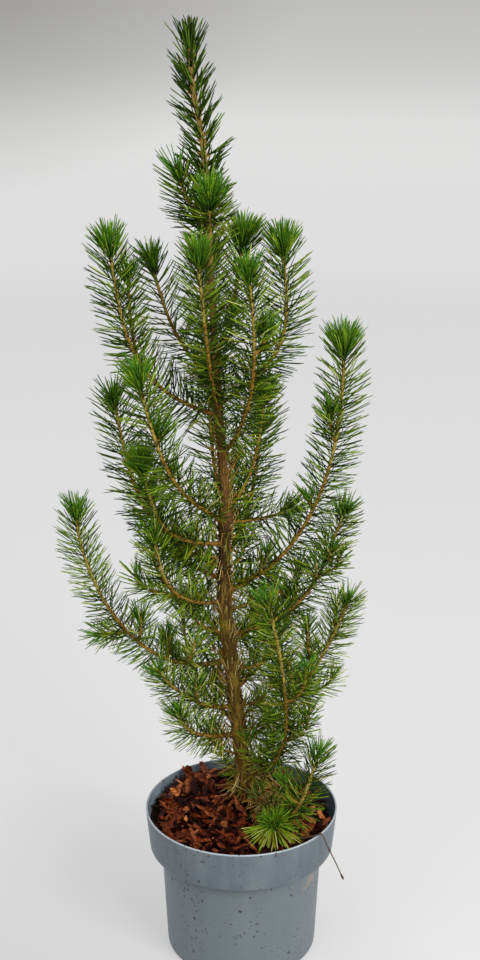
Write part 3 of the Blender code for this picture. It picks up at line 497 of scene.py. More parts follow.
def flakes(half_sizes, places, matrices, rng):
    """Broken flakes: each is a blunt-ended rod with a squarish section, whose width and thickness wander
    along its length and round its section, and which curls a little."""
    count = len(places)
    t = np.linspace(-1, 1, CHIP_ROWS)
    turn, cosine, sine = circle_of(CHIP_SIDES)
    blunt = (1 - np.abs(t) ** 3 * CHIP_BLUNTNESS)[None, :, None]
    across = np.sign(cosine) * np.abs(cosine) ** CHIP_SQUARENESS
    through = np.sign(sine) * np.abs(sine) ** CHIP_SQUARENESS
    phase = rng.uniform(0, math.tau, (count, 4, 1, 1))
    wander = 1 + 0.22 * np.sin(2.3 * t[None, :, None] * 2 + phase[:, 0]) * np.cos(turn + phase[:, 1])
    wander = wander + 0.16 * np.sin(5.1 * t[None, :, None] + 2 * turn + phase[:, 2])
    wander = wander + rng.normal(0, 0.07, (count, CHIP_ROWS, CHIP_SIDES))
    x = t[None, :, None] * half_sizes[:, 0, None, None] * (1 + 0.12 * np.sin(2 * turn + phase[:, 3]))
    y = across * half_sizes[:, 1, None, None] * blunt * wander
    z = through * half_sizes[:, 2, None, None] * blunt * wander
    curl = rng.normal(0, CHIP_CURL, (count, 1, 1)) * (t**2)[None, :, None] * half_sizes[:, 0, None, None]
    own = np.stack([x, y, z + curl], axis=3)
    return np.einsum("nij,nrsj->nrsi", matrices, own) + places[:, None, None]


def strewn(count, wall_gap, rng):
    """Places spread evenly over the bed, clear of the trunk's foot and of the wall."""
    turn = rng.uniform(0, math.tau, 3 * count)
    radius = (inside_radius(COMPOST_TOP) - wall_gap) * np.sqrt(rng.uniform(0, 1, 3 * count))
    x = radius * np.cos(turn)
    y = radius * np.sin(turn)
    off = np.hypot(x - TRUNK_FOOT[0], y - TRUNK_FOOT[1])
    keep = np.flatnonzero(off > CHIP_CLEAR_OF_TRUNK)[:count]
    return x[keep], y[keep]


chip_rng = np.random.default_rng(8)
chip_x, chip_y = strewn(CHIP_COUNT, CHIP_MIDDLE_TO_WALL, chip_rng)
chip_size = np.stack([chip_rng.uniform(*sizes, CHIP_COUNT) for sizes in CHIP_HALF_SIZES], axis=1)
on_edge = chip_rng.uniform(0, 1, CHIP_COUNT) < ON_EDGE_SHARE
chip_turns = rotations(
    chip_rng.uniform(0, math.tau, CHIP_COUNT),
    chip_rng.normal(0, 0.42, CHIP_COUNT),
    np.where(on_edge, chip_rng.normal(0, 1.0, CHIP_COUNT), chip_rng.normal(0, 0.4, CHIP_COUNT)),
)
layer = chip_rng.uniform(*CHIP_ABOVE_BED, CHIP_COUNT)
chip_places = np.stack([chip_x, chip_y, bed(chip_x, chip_y) + layer], axis=1)
chips = flakes(chip_size, chip_places, chip_turns, chip_rng)
wall_reach = inside_radius(COMPOST_TOP) - CHIP_END_TO_WALL
chip_reach = np.hypot(chips[..., 0], chips[..., 1])
chips[..., :2] *= np.minimum(1, wall_reach / chip_reach)[..., None]
tone_at = np.cumsum([tone.share for tone in CHIP_TONES.values()])
chip_tone = np.searchsorted(tone_at, chip_rng.uniform(0, 1, CHIP_COUNT) * 0.999)
# The lowest chips all take the first tone, nearly black, as painted shade in the gaps under the chips above
# them.
chip_tone = np.where(layer < CHIPS_SHADED_BELOW, 0, chip_tone)
for number, (name, tone) in enumerate(CHIP_TONES.items()):
    chip_finish = Finish(f"bark_chip_{name}", tone.dark, 0.75, sheen=0.08)
    fibre = chip_finish.noise(330, 5.0, 0.68)
    chip_finish.colour(chip_finish.mix(chip_finish.between(fibre, 0.36, 0.66), tone.dark, tone.light))
    chip_finish.rough(chip_finish.ramp(fibre, (0.35, 0.36), (0.7, 0.7)))
    chip_finish.bumped((fibre, 0.0010, 0.9))
    heap = piece_of(f"bark_chips_{name}", *skins(chips[chip_tone == number]), chip_finish.material)
    heap.data.set_sharp_from_angle(angle=CHIP_SHARP_EDGE)
    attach(heap, "root")

# A dead twig lies on the chips and hangs over the rim, thin and knotted.
TWIG_BENDS = np.array(
    [
        (0.0560, -0.0560, 0.1440),
        (0.0700, -0.0600, 0.1500),
        (0.0765, -0.0620, 0.1535),
        (0.0835, -0.0620, 0.1370),
        (0.0900, -0.0600, 0.1220),
        (0.0985, -0.0580, 0.1010),
    ]
)
TWIG_THICKNESS = (0.0008, 0.0005)
TWIG_KNOTS = (0.36, 0.62, 0.97)
TWIG_KNOT_SWELL = 0.0008
TWIG_KNOT_LENGTH = 0.02
TWIG_ROWS = 60
TWIG_ROUND = 8
DEAD_TWIG_BROWN = (0.060, 0.038, 0.026)


def tube(path, first, second, radius, sides):
    """Rings round the points of a path: place + radius x (first x cosine + second x sine), where first and
    second are unit vectors crosswise to the path. The radius may differ from side to side."""
    _, cosine, sine = circle_of(sides)
    ring = first[..., None, :] * cosine[:, None] + second[..., None, :] * sine[:, None]
    return path[..., None, :] + ring * radius[..., None]


along_bends = np.linspace(0, 1, len(TWIG_BENDS))
along_twig = np.linspace(0, 1, TWIG_ROWS)
twig_path = read_off(along_twig, along_bends, TWIG_BENDS)
twig_path[1:-1] = (twig_path[:-2] + 2 * twig_path[1:-1] + twig_path[2:]) / 4
twig_radius = np.interp(along_twig, (0, 1), TWIG_THICKNESS)
for knot in TWIG_KNOTS:
    twig_radius = twig_radius + TWIG_KNOT_SWELL * np.exp(-(((along_twig - knot) / TWIG_KNOT_LENGTH) ** 2))
twig_ahead = unit(np.gradient(twig_path, axis=0))
twig_across = unit(np.cross(twig_ahead, (0.0, 1.0, 0.0)))
twig_rows = tube(
    twig_path, twig_across, np.cross(twig_ahead, twig_across), twig_radius[:, None], TWIG_ROUND
)
dead_finish = Finish("dead_twig", DEAD_TWIG_BROWN, 0.85)
dead_twig = piece_of("dead_twig", *skins(twig_rows[None]), dead_finish.material)
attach(dead_twig, "root")

# Trunk
# The young trunk stands slightly bent in the mulch and runs up to the tip of the leader. Its bark is brown
# and flaky at the foot, with the raised scars of lost needles, and smoother and yellower in the leader.

Bend = namedtuple("Bend", "height side back radius")
trunk_low, trunk_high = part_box("trunk")
ROOT_FLARE = 0.0014
ROOT_FLARE_HEIGHT = 0.016
TRUNK_ROWS = 1150
BUD_BELOW_TIP = 0.007
LEADER_THICKER = 0.0005
TRUNK_SIDES = 48
SCARS_ROUND = 7
SCAR_PITCH = 0.0062
# The relief of the bark: what each kind raises at the foot, and how much of it is lost towards the leader.
# Plates and strands are laid on in cells: how many go round the trunk, and how long each is.
LARGE_PLATES = (9, 0.014)
SMALL_PLATES = (16, 0.006)
SMALL_PLATES_SHARE = 0.6
PLATE_STEEPNESS = 2.6
STRANDS = (24, 0.018)
STRAND_TWIST = 6
SCAR_MIDDLE = 0.4
PLATE_HEIGHT = 0.00050
PLATES_LOST = 0.70
STRAND_HEIGHT = 0.00035
STRANDS_LOST = 0.6
SCAR_HEIGHT = 0.00075
SCAR_HEIGHT_LOST = 0.00035
BARK_SET_IN = 0.00025
YOUNGER_FROM = 0.18
YOUNGER_OVER = 0.45
LEADER_FROM = 0.66
LEADER_OVER = 0.06
TRUNK_BENDS = (
    Bend(trunk_low.z, 0.0075, 0.0240, 0.0088),
    Bend(0.210, -0.0015, 0.0240, 0.0079),
    Bend(0.290, -0.0100, 0.0230, 0.0072),
    Bend(0.358, -0.0165, 0.0220, 0.0068),
    Bend(0.450, -0.0155, 0.0210, 0.0055),
    Bend(0.560, -0.0220, 0.0200, 0.0040),
    Bend(0.690, -0.0285, 0.0180, 0.0030),
    Bend(0.790, -0.0340, 0.0170, 0.0023),
    Bend(0.845, -0.0430, 0.0160, 0.0019),
    Bend(trunk_high.z, -0.0447, 0.0160, 0.0012),
)
Whorl = namedtuple("Whorl", "height swelling spread")
WHORLS = (
    Whorl(0.250, 0.0006, 0.006),
    Whorl(0.300, 0.0007, 0.006),
    Whorl(0.362, 0.0009, 0.007),
    Whorl(0.440, 0.0018, 0.009),
    Whorl(0.552, 0.0009, 0.008),
    Whorl(0.711, 0.0007, 0.006),
)
BARK_FOOT = (0.072, 0.040, 0.006)
BARK_BROWN = (0.070, 0.037, 0.005)
BARK_PALE = (0.250, 0.165, 0.020)
# Painted shade: the nearly black tone of the bark just under the main whorl.
BARK_SHADE_UNDER_WHORL = (0.020, 0.007, 0.002)
BARK_RED = (0.085, 0.034, 0.010)
BARK_LEADER = (0.230, 0.170, 0.040)


def trunk_at(height):
    """The trunk's place to the side and back and its radius at each height: a cubic between each two bends,
    whose slope at a bend is that of the bends on either side of it."""
    heights = np.array([bend.height for bend in TRUNK_BENDS])
    places = np.array([[bend.side, bend.back, bend.radius] for bend in TRUNK_BENDS])
    slopes = np.gradient(places, heights, axis=0)
    span = np.clip(np.searchsorted(heights, height) - 1, 0, len(heights) - 2)
    size = (heights[span + 1] - heights[span])[:, None]
    t = (height - heights[span])[:, None] / size
    return (
        (2 * t**3 - 3 * t**2 + 1) * places[span]
        + (t**3 - 2 * t**2 + t) * size * slopes[span]
        + (3 * t**2 - 2 * t**3) * places[span + 1]
        + (t**3 - t**2) * size * slopes[span + 1]
    )


def trunk_point(height):
    """The middle of the trunk at each height."""
    height = np.atleast_1d(height)
    return np.c_[trunk_at(height)[:, :2], height]


def trunk_radius(height):
    """The trunk's radius at each height, more where it meets the mulch and at each whorl."""
    radius = trunk_at(np.ravel(height))[:, 2].reshape(np.shape(height))
    radius = radius + ROOT_FLARE * np.exp(-(height - trunk_low.z) / ROOT_FLARE_HEIGHT)
    for whorl in WHORLS:
        radius = radius + whorl.swelling * np.exp(-(((height - whorl.height) / whorl.spread) ** 2))
    return radius


def scars(turn, along, round_, pitch):
    """The scars of needles: a lozenge lattice of two families of spirals, 0 in the furrows and up to 1 on the
    crests.

    Each lozenge rises slowly from its foot and ends sharply at its top, as the scale under a needle does.
    """
    left = (turn / math.tau * round_ + along / pitch) % 1
    right = (-turn / math.tau * (round_ + 3) + along / pitch * 0.72) % 1
    across = np.sin(math.pi * left) * np.sin(math.pi * right)
    return across**0.6 * (0.45 + 0.55 * (left + right) / 2)


def weathering(turn, along, cells_round, cell_length, rng):
    """Smooth random relief from -1 to 1 on a cylinder: random heights at the knots of a grid that closes
    round it, blended by a smooth step both ways."""
    rows = int(np.ceil((along.max() - along.min()) / cell_length)) + 2
    knots = rng.uniform(-1, 1, (rows, cells_round))
    u = (turn / math.tau * cells_round) % cells_round
    v = (along - along.min()) / cell_length
    column = u.astype(int) % cells_round
    row = v.astype(int)
    after = (column + 1) % cells_round
    u = u - np.floor(u)
    v = v - row
    u = u * u * (3 - 2 * u)
    v = v * v * (3 - 2 * v)
    low = knots[row, column] * (1 - u) + knots[row, after] * u
    high = knots[row + 1, column] * (1 - u) + knots[row + 1, after] * u
    return low * (1 - v) + high * v


bark_rng = np.random.default_rng(3)
height = np.linspace(trunk_low.z, trunk_high.z - BUD_BELOW_TIP, TRUNK_ROWS)
turn, cosine, sine = circle_of(TRUNK_SIDES)
turn_grid, height_grid = np.meshgrid(turn, height)
youth = np.clip((height_grid - YOUNGER_FROM) / YOUNGER_OVER, 0, 1)
plates = weathering(turn_grid, height_grid, *LARGE_PLATES, bark_rng)
plates = plates + SMALL_PLATES_SHARE * weathering(turn_grid, height_grid, *SMALL_PLATES, bark_rng)
plates = np.tanh(PLATE_STEEPNESS * plates)
strands = weathering(turn_grid + height_grid * STRAND_TWIST, height_grid, *STRANDS, bark_rng)
lozenges = scars(turn_grid, height_grid, SCARS_ROUND, SCAR_PITCH) - SCAR_MIDDLE
relief = PLATE_HEIGHT * (1 - PLATES_LOST * youth) * plates
relief = relief + STRAND_HEIGHT * (1 - STRANDS_LOST * youth) * strands
relief = relief + (SCAR_HEIGHT - SCAR_HEIGHT_LOST * youth) * lozenges
relief = relief - BARK_SET_IN + LEADER_THICKER * np.clip((height_grid - LEADER_FROM) / LEADER_OVER, 0, 1)
radius = trunk_radius(height_grid) + relief
level = np.stack([radius * cosine, radius * sine, 0 * radius], axis=2)
trunk_rows = trunk_point(height)[:, None] + level
bark_finish = Finish("trunk_bark", BARK_BROWN, 0.85, sheen=0.2)
grain = bark_finish.noise(330, 5.0, 0.65, bark_finish.stretched((1, 1, 0.20)))
patches = bark_finish.noise(70, 3.0, 0.6, bark_finish.stretched((1, 1, 0.35)))
up_trunk = bark_finish.height_of_place(trunk_low.z, trunk_high.z)
# Painted shade: from 0.31 to 0.385 of the way up, just under the main whorl, the bark is painted nearly
# black.
aged = bark_finish.ramp(
    up_trunk, (0.0, BARK_FOOT), (0.10, BARK_BROWN), (0.27, BARK_BROWN), (0.31, BARK_SHADE_UNDER_WHORL),
    (0.385, BARK_SHADE_UNDER_WHORL), (0.40, BARK_RED), (0.46, BARK_RED), (0.52, BARK_BROWN), (0.60, BARK_BROWN),
    (0.82, BARK_LEADER),
)
pale = bark_finish.ramp(bark_finish.maths("MULTIPLY", grain, patches), (0.22, 0.0), (0.34, 0.90))
pale_share = bark_finish.ramp(
    up_trunk, (0.29, 1.0), (0.32, 0.15), (0.38, 0.15), (0.41, 0.3), (0.48, 0.4), (0.60, 1.0), (0.80, 0.35)
)
pale = bark_finish.maths("MULTIPLY", pale, pale_share)
bark_finish.colour(bark_finish.mix(pale, aged, BARK_PALE))
bark_finish.bumped((grain, 0.0012, 0.9), (bark_finish.noise(900, 3.0), 0.0003, 0.5))
trunk = piece_of("trunk_with_bark", *skins(trunk_rows[None]), bark_finish.material)
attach(trunk, "root")
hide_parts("trunk")

# Boughs and shoots
# Each shoot leaves the trunk in a swollen collar, sweeps out and turns up. It is orange-brown and scaly where
# it is bare, then yellower, and olive yellow at its tip. Its side shoots leave it at their own heights.

Shoot = namedtuple("Shoot", "name base azimuth reach tip rise elbow upright lean bow bare foot_radius")
SHOOTS = (
    Shoot("foot_front", 0.152, -49, 0.105, 0.243, 5, 0.95, 0.90, 5, -0.26, 0.15, 0.0022),
    Shoot("low_front", 0.168, -72, 0.060, 0.387, 25, 1.00, 0.60, -5, 0.50, 0.12, 0.0025),
    Shoot("low_right", 0.205, 10, 0.110, 0.355, 15, 0.70, 0.15, 0, 0.20, 0.17, 0.0025),
    Shoot("low_left_front", 0.215, -150, 0.070, 0.262, 5, 0.80, 0.50, 10, 0.00, 0.00, 0.0023),
    Shoot("low_back_left", 0.228, 128, 0.095, 0.335, 5, 0.75, 0.45, 10, 0.05, 0.18, 0.0024),
    Shoot("low_left", 0.247, -156, 0.083, 0.304, -10, 0.50, 0.15, 0, 0.00, 0.18, 0.0022),
    Shoot("low_back_right", 0.264, 48, 0.100, 0.375, 10, 0.75, 0.45, 5, 0.00, 0.18, 0.0024),
    Shoot("waist_left", 0.297, -175, 0.145, 0.460, -18, 0.70, 0.35, -5, 0.05, 0.18, 0.0027),
    Shoot("waist_back", 0.306, 114, 0.105, 0.392, 5, 0.75, 0.50, 5, 0.00, 0.17, 0.0024),
    Shoot("waist_right", 0.321, 15, 0.120, 0.445, -3, 0.88, 0.60, 10, 0.30, 0.17, 0.0025),
    Shoot("middle_left_front", 0.357, -157, 0.072, 0.446, 4, 0.95, 0.50, 5, 0.10, 0.17, 0.0021),
    Shoot("middle_right", 0.368, 0, 0.110, 0.615, 16, 0.65, 0.55, -3, 0.00, 0.12, 0.0027),
    Shoot("middle_left_back", 0.380, 158, 0.078, 0.462, 10, 0.75, 0.70, 0, -0.05, 0.16, 0.0021),
    Shoot("middle_back", 0.400, 68, 0.100, 0.520, 8, 0.80, 0.50, 0, 0.05, 0.15, 0.0022),
    Shoot("upper_left", 0.393, 169, 0.107, 0.562, 12, 0.90, 0.50, 8, -0.12, 0.17, 0.0024),
    Shoot("middle_left", 0.417, -159, 0.083, 0.512, 4, 0.95, 0.50, 16, 0.05, 0.17, 0.0022),
    Shoot("upper_right_back", 0.438, 35, 0.083, 0.443, -8, 0.85, 0.90, 0, 0.00, 0.17, 0.0019),
    Shoot("upper_left_front", 0.439, -145, 0.095, 0.600, 30, 0.90, 0.53, 7, 0.20, 0.13, 0.0024),
    Shoot("upper_back_right", 0.449, 55, 0.065, 0.560, 12, 0.80, 0.55, 0, 0.05, 0.12, 0.0021),
    Shoot("upper_back_left", 0.452, 103, 0.075, 0.575, 12, 0.80, 0.50, 5, 0.00, 0.13, 0.0021),
    Shoot("high_front", 0.504, -61, 0.046, 0.691, 50, 1.10, 0.53, -4, 0.30, 0.09, 0.0019),
    Shoot("high_left", 0.543, -173, 0.098, 0.710, 17, 0.86, 0.56, 6, 0.00, 0.11, 0.0021),
    Shoot("high_front_left", 0.552, -111, 0.048, 0.706, 0, 0.42, 0.34, 0, 0.08, 0.00, 0.0018),
    Shoot("high_right", 0.553, 12, 0.059, 0.707, 31, 1.55, 0.48, -4, -0.10, 0.10, 0.0019),
    Shoot("high_left_back", 0.567, 154, 0.069, 0.690, 42, 0.72, 0.73, 8, -0.20, 0.00, 0.0018),
    Shoot("high_back", 0.575, 98, 0.055, 0.690, 25, 0.80, 0.50, 0, 0.10, 0.00, 0.0018),
    Shoot("high_right_back", 0.599, 53, 0.044, 0.708, 26, 0.87, 0.39, 3, 0.14, 0.00, 0.0017),
    Shoot("top_left", 0.706, -172, 0.029, 0.773, 58, 0.80, 0.30, 8, 0.03, 0.00, 0.0014),
    Shoot("top_front", 0.712, -87, 0.035, 0.753, 30, 0.60, 0.40, 10, 0.00, 0.00, 0.0014),
)
SideShoot = namedtuple("SideShoot", "name at azimuth reach rise")
SIDE_SHOOTS = (
    SideShoot("foot_front", 0.36, -92, 0.040, 0.014),
    SideShoot("foot_front", 0.66, 160, 0.014, 0.030),
    SideShoot("low_front", 0.55, -20, 0.020, 0.045),
    SideShoot("low_right", 0.36, 20, 0.045, 0.026),
    SideShoot("low_right", 0.55, 170, 0.008, 0.056),
    SideShoot("low_right", 0.72, 60, 0.014, 0.046),
    SideShoot("low_back_left", 0.55, 170, 0.030, 0.035),
    SideShoot("low_back_right", 0.55, 80, 0.030, 0.040),
    SideShoot("low_left", 0.42, -100, 0.010, 0.034),
    SideShoot("waist_left", 0.26, 80, 0.014, 0.030),
    SideShoot("waist_left", 0.40, -60, 0.008, 0.038),
    SideShoot("waist_left", 0.46, -155, 0.036, 0.006),
    SideShoot("waist_back", 0.55, 60, 0.025, 0.045),
    SideShoot("waist_right", 0.66, -60, 0.012, 0.030),
    SideShoot("middle_left_front", 0.40, 185, 0.042, 0.030),
    SideShoot("middle_right", 0.68, 200, 0.006, 0.038),
    SideShoot("middle_back", 0.50, 120, 0.028, 0.045),
    SideShoot("upper_left_front", 0.66, 60, 0.006, 0.018),
    SideShoot("upper_back_left", 0.55, 80, 0.022, 0.040),
    SideShoot("high_front", 0.60, 20, 0.012, 0.030),
    SideShoot("high_left", 0.42, 122, 0.025, 0.088),
)
SIDE_FIRST_PULL = (0.70, 0.15)
SIDE_LAST_PULL = (1.00, 0.35)
SOLID_KINDS = ("shoot", "side")
SHOOT_SIDES = 12
SHOOT_STEP = 0.0012
TWIG_SIDES = 6
TWIG_STEP = 0.0030
BARE_END_RADIUS = 0.0018
SHOOT_TIP_RADIUS = 0.0015
SIDE_SHOOT_RADIUS = 0.0014
COLLAR_SWELL = 0.55
COLLAR_REACH = 0.0045
SPUR_LENGTH = (0.010, 0.020)
SPUR_RADIUS = 0.0011
BUD_POINT = 0.004
BUD_BLUNTNESS = 0.02
TIP_SHORT = 0.006
SIDE_BURIED = 0.002
TWIG_BURIED = 0.001
LIMB_SCARS_ROUND = 3
LIMB_SCAR_MIDDLE = 0.45
LIMB_CELLS = (6, 0.006)
LIMB_SCAR_RELIEF = 0.20
LIMB_WEATHERING = 0.10
UP = np.array([0.0, 0.0, 1.0])


def bearing(azimuth):
    """The level unit vector at an azimuth in degrees."""
    angle = math.radians(azimuth)
    return np.array([math.cos(angle), math.sin(angle), 0.0])


def cubic(start, first_pull, last_pull, end, step=SHOOT_STEP):
    """Points evenly spaced, a step apart, along the cubic curve from start to end with these two pulls."""
    t = np.linspace(0, 1, 400)[:, None]
    curve = (
        (1 - t) ** 3 * start
        + 3 * (1 - t) ** 2 * t * first_pull
        + 3 * (1 - t) * t**2 * last_pull
        + t**3 * end
    )
    walked = walk_along(curve)
    return read_off(np.linspace(0, walked[-1], max(8, round(walked[-1] / step))), walked, curve)


def shoot_path(shoot):
    """A shoot sets off outward from the middle of the trunk and turns up to its tip."""
    start = trunk_point(shoot.base)[0]
    out = bearing(shoot.azimuth)
    side = bearing(shoot.azimuth + 90) * shoot.bow * shoot.reach
    rise = math.radians(shoot.rise)
    lean = math.radians(shoot.lean)
    end = start + out * shoot.reach + UP * (shoot.tip - shoot.base)
    set_off = out * math.cos(rise) + UP * math.sin(rise)
    stand = out * math.sin(lean) + UP * math.cos(lean)
    first_pull = start + set_off * shoot.elbow * shoot.reach + side
    last_pull = end - stand * shoot.upright * (shoot.tip - shoot.base) + side
    return cubic(start, first_pull, last_pull, end)


def side_path(start, azimuth, reach, rise, step=SHOOT_STEP):
    """A side shoot leaves its parent outward and turns up."""
    out = bearing(azimuth) * reach
    up = UP * rise
    first_pull = start + SIDE_FIRST_PULL[0] * out + SIDE_FIRST_PULL[1] * up
    last_pull = start + SIDE_LAST_PULL[0] * out + SIDE_LAST_PULL[1] * up
    return cubic(start, first_pull, last_pull, start + out + up, step)


def point_at(path, share):
    """The point of a path at a share of its points."""
    return path[round(share * (len(path) - 1))]


def framed(path, azimuth):
    """Direction and two crosswise unit vectors at each point of a path that bends within an upright plane."""
    ahead = unit(np.gradient(path, axis=0))
    across = unit(bearing(azimuth + 90) - ahead * (ahead @ bearing(azimuth + 90))[:, None])
    return ahead, across, np.cross(ahead, across)


def limb_rows(limb, rng):
    """A limb's rings: its own radius, raised by the scars of needles and by a little weathering."""
    _, first, second = framed(limb.path, limb.azimuth)
    sides = SHOOT_SIDES if limb.kind in SOLID_KINDS else TWIG_SIDES
    turn_grid, walked_grid = np.meshgrid(circle_of(sides)[0], limb.walked)
    relief = scars(turn_grid, walked_grid, LIMB_SCARS_ROUND, SCAR_PITCH) - LIMB_SCAR_MIDDLE
    weathered = weathering(turn_grid, walked_grid, *LIMB_CELLS, rng)
    relief = LIMB_SCAR_RELIEF * relief + LIMB_WEATHERING * weathered
    return tube(limb.path, first, second, limb.radius[:, None] * (1 + relief), sides)


Limb = namedtuple("Limb", "name path walked radius azimuth kind bare owner")
limb_rng = np.random.default_rng(17)
limbs = []


def add_limb(name, path, azimuth, kind, foot_radius, buried, bare=0):
    """Add a limb, numbered in order, with its radius at each point: bough, shoot and tip each taper evenly,
    and a collar swells the foot, most where it comes out of the limb that it is buried in."""
    walked = walk_along(path)
    share = walked / walked[-1]
    if bare:
        radius = np.interp(share, [0, bare, 1], [foot_radius, BARE_END_RADIUS, SHOOT_TIP_RADIUS])
    else:
        radius = np.interp(share, [0, 1], [foot_radius, SHOOT_TIP_RADIUS])
    past = np.maximum(walked - buried, 0)
    radius = radius * (1 + COLLAR_SWELL * np.exp(-past / COLLAR_REACH))
    # The last few millimetres close to the point of the bud.
    radius = radius * np.sqrt(np.clip((walked[-1] - walked) / BUD_POINT, BUD_BLUNTNESS, 1))
    limbs.append(Limb(name, path, walked, radius, azimuth, kind, bare, len(limbs)))


for shoot in SHOOTS:
    path = shoot_path(shoot)[: -round(TIP_SHORT / SHOOT_STEP)]
    buried = float(trunk_radius(shoot.base))
    add_limb(shoot.name, path, shoot.azimuth, "shoot", shoot.foot_radius, buried, shoot.bare)
    for side in SIDE_SHOOTS:
        if side.name == shoot.name:
            own = side_path(point_at(path, side.at), side.azimuth, side.reach, side.rise)
            own = own[: -round(TIP_SHORT / SHOOT_STEP)]
            add_limb(shoot.name, own, side.azimuth, "side", SIDE_SHOOT_RADIUS, SIDE_BURIED)
# Finer than the solids: spurs are short young shoots that stand out of the longer ones, and twigs are thin
# old ones that fill the crown between the shoots and the trunk.
LONG_LIMB = 0.09
SPUR_COUNTS = (0, 2)
SPUR_ALONG = (0.18, 0.50)
TWIG_RADIUS = 0.0008
TWIG_HEIGHTS = (0.30, 0.42)
TWIGS_ON_SHOOT = (3, 0)
TWIGS_MORE_TO_RIGHT = 0.70
TWIG_ALONG = (0.08, 0.66)
TWIG_LENGTH = (0.030, 0.055)
TWIG_TURN_PLAY = 60
TWIGS_BELOW = 0.43
TRUNK_TWIGS = 20
TRUNK_TWIG_HEIGHTS = (0.165, 0.415)
TRUNK_TWIG_RISE = (0.3, 0.9)
GOLDEN_DEGREES = 137.5
FRONT = 270
CLEAR_FRONT = 65
for parent in [limb for limb in limbs if limb.walked[-1] > LONG_LIMB]:
    for _ in range(limb_rng.integers(*SPUR_COUNTS)):
        start = point_at(parent.path, limb_rng.uniform(*SPUR_ALONG))
        length = limb_rng.uniform(*SPUR_LENGTH)
        azimuth = limb_rng.uniform(0, 360)
        own = side_path(start, azimuth, 0.55 * length, 0.85 * length, TWIG_STEP)
        add_limb(parent.name, own, azimuth, "spur", SPUR_RADIUS, TWIG_BURIED)
    twigs = float(np.interp(parent.path[0][2], TWIG_HEIGHTS, TWIGS_ON_SHOOT))
    twigs = round(twigs * (1 + TWIGS_MORE_TO_RIGHT * bearing(parent.azimuth)[0]))
    for along in limb_rng.uniform(*TWIG_ALONG, twigs if parent.kind == "shoot" else 0):
        start = point_at(parent.path, along)
        inward = trunk_point(start[2])[0] - start
        apart = math.hypot(inward[0], inward[1])
        azimuth = math.degrees(math.atan2(inward[1], inward[0])) + limb_rng.normal(0, TWIG_TURN_PLAY)
        length = limb_rng.uniform(*TWIG_LENGTH)
        if parent.name == "foot_front" or start[2] > TWIGS_BELOW:
            continue
        own = side_path(start, azimuth, min(0.6 * length, 0.6 * apart), 0.75 * length, TWIG_STEP)
        add_limb(parent.name, own, azimuth, "twig", TWIG_RADIUS, TWIG_BURIED)
azimuth = 0.0
for base in np.linspace(*TRUNK_TWIG_HEIGHTS, TRUNK_TWIGS):
    azimuth = (azimuth + GOLDEN_DEGREES) % 360
    if abs(azimuth - FRONT) < CLEAR_FRONT:
        azimuth = (azimuth + 2 * CLEAR_FRONT) % 360
    # About half of the twigs to the left change over to the right.
    if bearing(azimuth)[0] < -0.3 and limb_rng.uniform(0, 1) < 0.5:
        azimuth = (540 - azimuth) % 360
    length = limb_rng.uniform(*TWIG_LENGTH)
    start = trunk_point(base)[0]
    own = side_path(start, azimuth, 0.80 * length, limb_rng.uniform(*TRUNK_TWIG_RISE) * length, TWIG_STEP)
    add_limb("trunk", own, azimuth, "twig", TWIG_RADIUS, float(trunk_radius(base)))

LIMB_TONES = {
    "boughs": ((0.064, 0.029, 0.003), (0.215, 0.110, 0.012)),
    "shoots": ((0.110, 0.056, 0.005), (0.300, 0.168, 0.019)),
    "shoot_tips": ((0.150, 0.098, 0.014), (0.350, 0.265, 0.050)),
}
TIP_FROM = 0.60
LEAST_BARE = 0.12
PART_OVERLAP = 0.004
limb_parts = {name: [] for name in LIMB_TONES}
for limb in limbs:
    rows = limb_rows(limb, limb_rng)
    share = limb.walked / limb.walked[-1]
    bare_end = max(limb.bare, LEAST_BARE) if limb.kind == "shoot" else 0
    cuts = [("boughs", 0, bare_end), ("shoots", bare_end, TIP_FROM), ("shoot_tips", TIP_FROM, 1)]
    for part, begin, end in cuts:
        chosen = np.flatnonzero((share >= begin - PART_OVERLAP) & (share <= end + PART_OVERLAP))
        if len(chosen) > 2:
            limb_parts[part].append(skins(rows[chosen][None]))


def gathered(shapes):
    """One set of points and triangles from many."""
    shift = np.cumsum([0] + [len(points) for points, _ in shapes[:-1]])
    points = np.concatenate([points for points, _ in shapes])
    return points, np.concatenate([faces + step for (_, faces), step in zip(shapes, shift)])


bough_nodes = sorted(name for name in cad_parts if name.startswith("bough_"))
for part, (dark, light) in LIMB_TONES.items():
    limb_finish = Finish(f"{part}_bark", dark, 0.75, sheen=0.2)
    grain = limb_finish.noise(380, 4.0, 0.6)
    limb_finish.colour(limb_finish.mix(limb_finish.between(grain, 0.35, 0.65), dark, light))
    limb_finish.bumped((grain, 0.0004, 0.7))
    limb_piece = piece_of(part, *gathered(limb_parts[part]), limb_finish.material)
    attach(limb_piece, "root")
    if part == "boughs":
        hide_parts(*bough_nodes)

# Needles
# Single young needles, 2 to 3 cm long and 1 mm wide, mostly in pairs, in a spiral all round each shoot. They
# lean forward more towards its tip, where they stand in a bright brush. Dried ones cling low on the trunk.

Growth = namedtuple("Growth", "pairs_per_metre start length brush brush_depth")
GROWTHS = {
    "shoot": Growth(1200, 0.012, 1.00, 150, 0.016),
    "side": Growth(1150, 0.003, 0.80, 50, 0.012),
    "twig": Growth(760, 0.004, 0.70, 4, 0.006),
    "spur": Growth(900, 0.003, 0.56, 16, 0.006),
}
NEEDLE_LENGTH = 0.0325
TUFT_NEEDLE_LENGTH = 0.0300
NEEDLE_WIDTH = 0.00102
FROM_TIP = (0.0, 0.008, 0.024, 0.055, 0.140)
SLOPE_FROM_TIP = (26, 38, 52, 63, 71)
NEEDLE_PLACE_PLAY = 0.0007
NEEDLE_SLOPE_PLAY = 4.5
NEEDLE_LENGTH_PLAY = 0.20
NEEDLE_TURN_PLAY = 0.2
NEEDLE_WIDTHS = (0.8, 1.08)
PAIR_TURN = 0.12
PAIR_SLOPE = 2
TUFT_DEPTH = 0.016
TUFT_TONE_FROM = 0.3
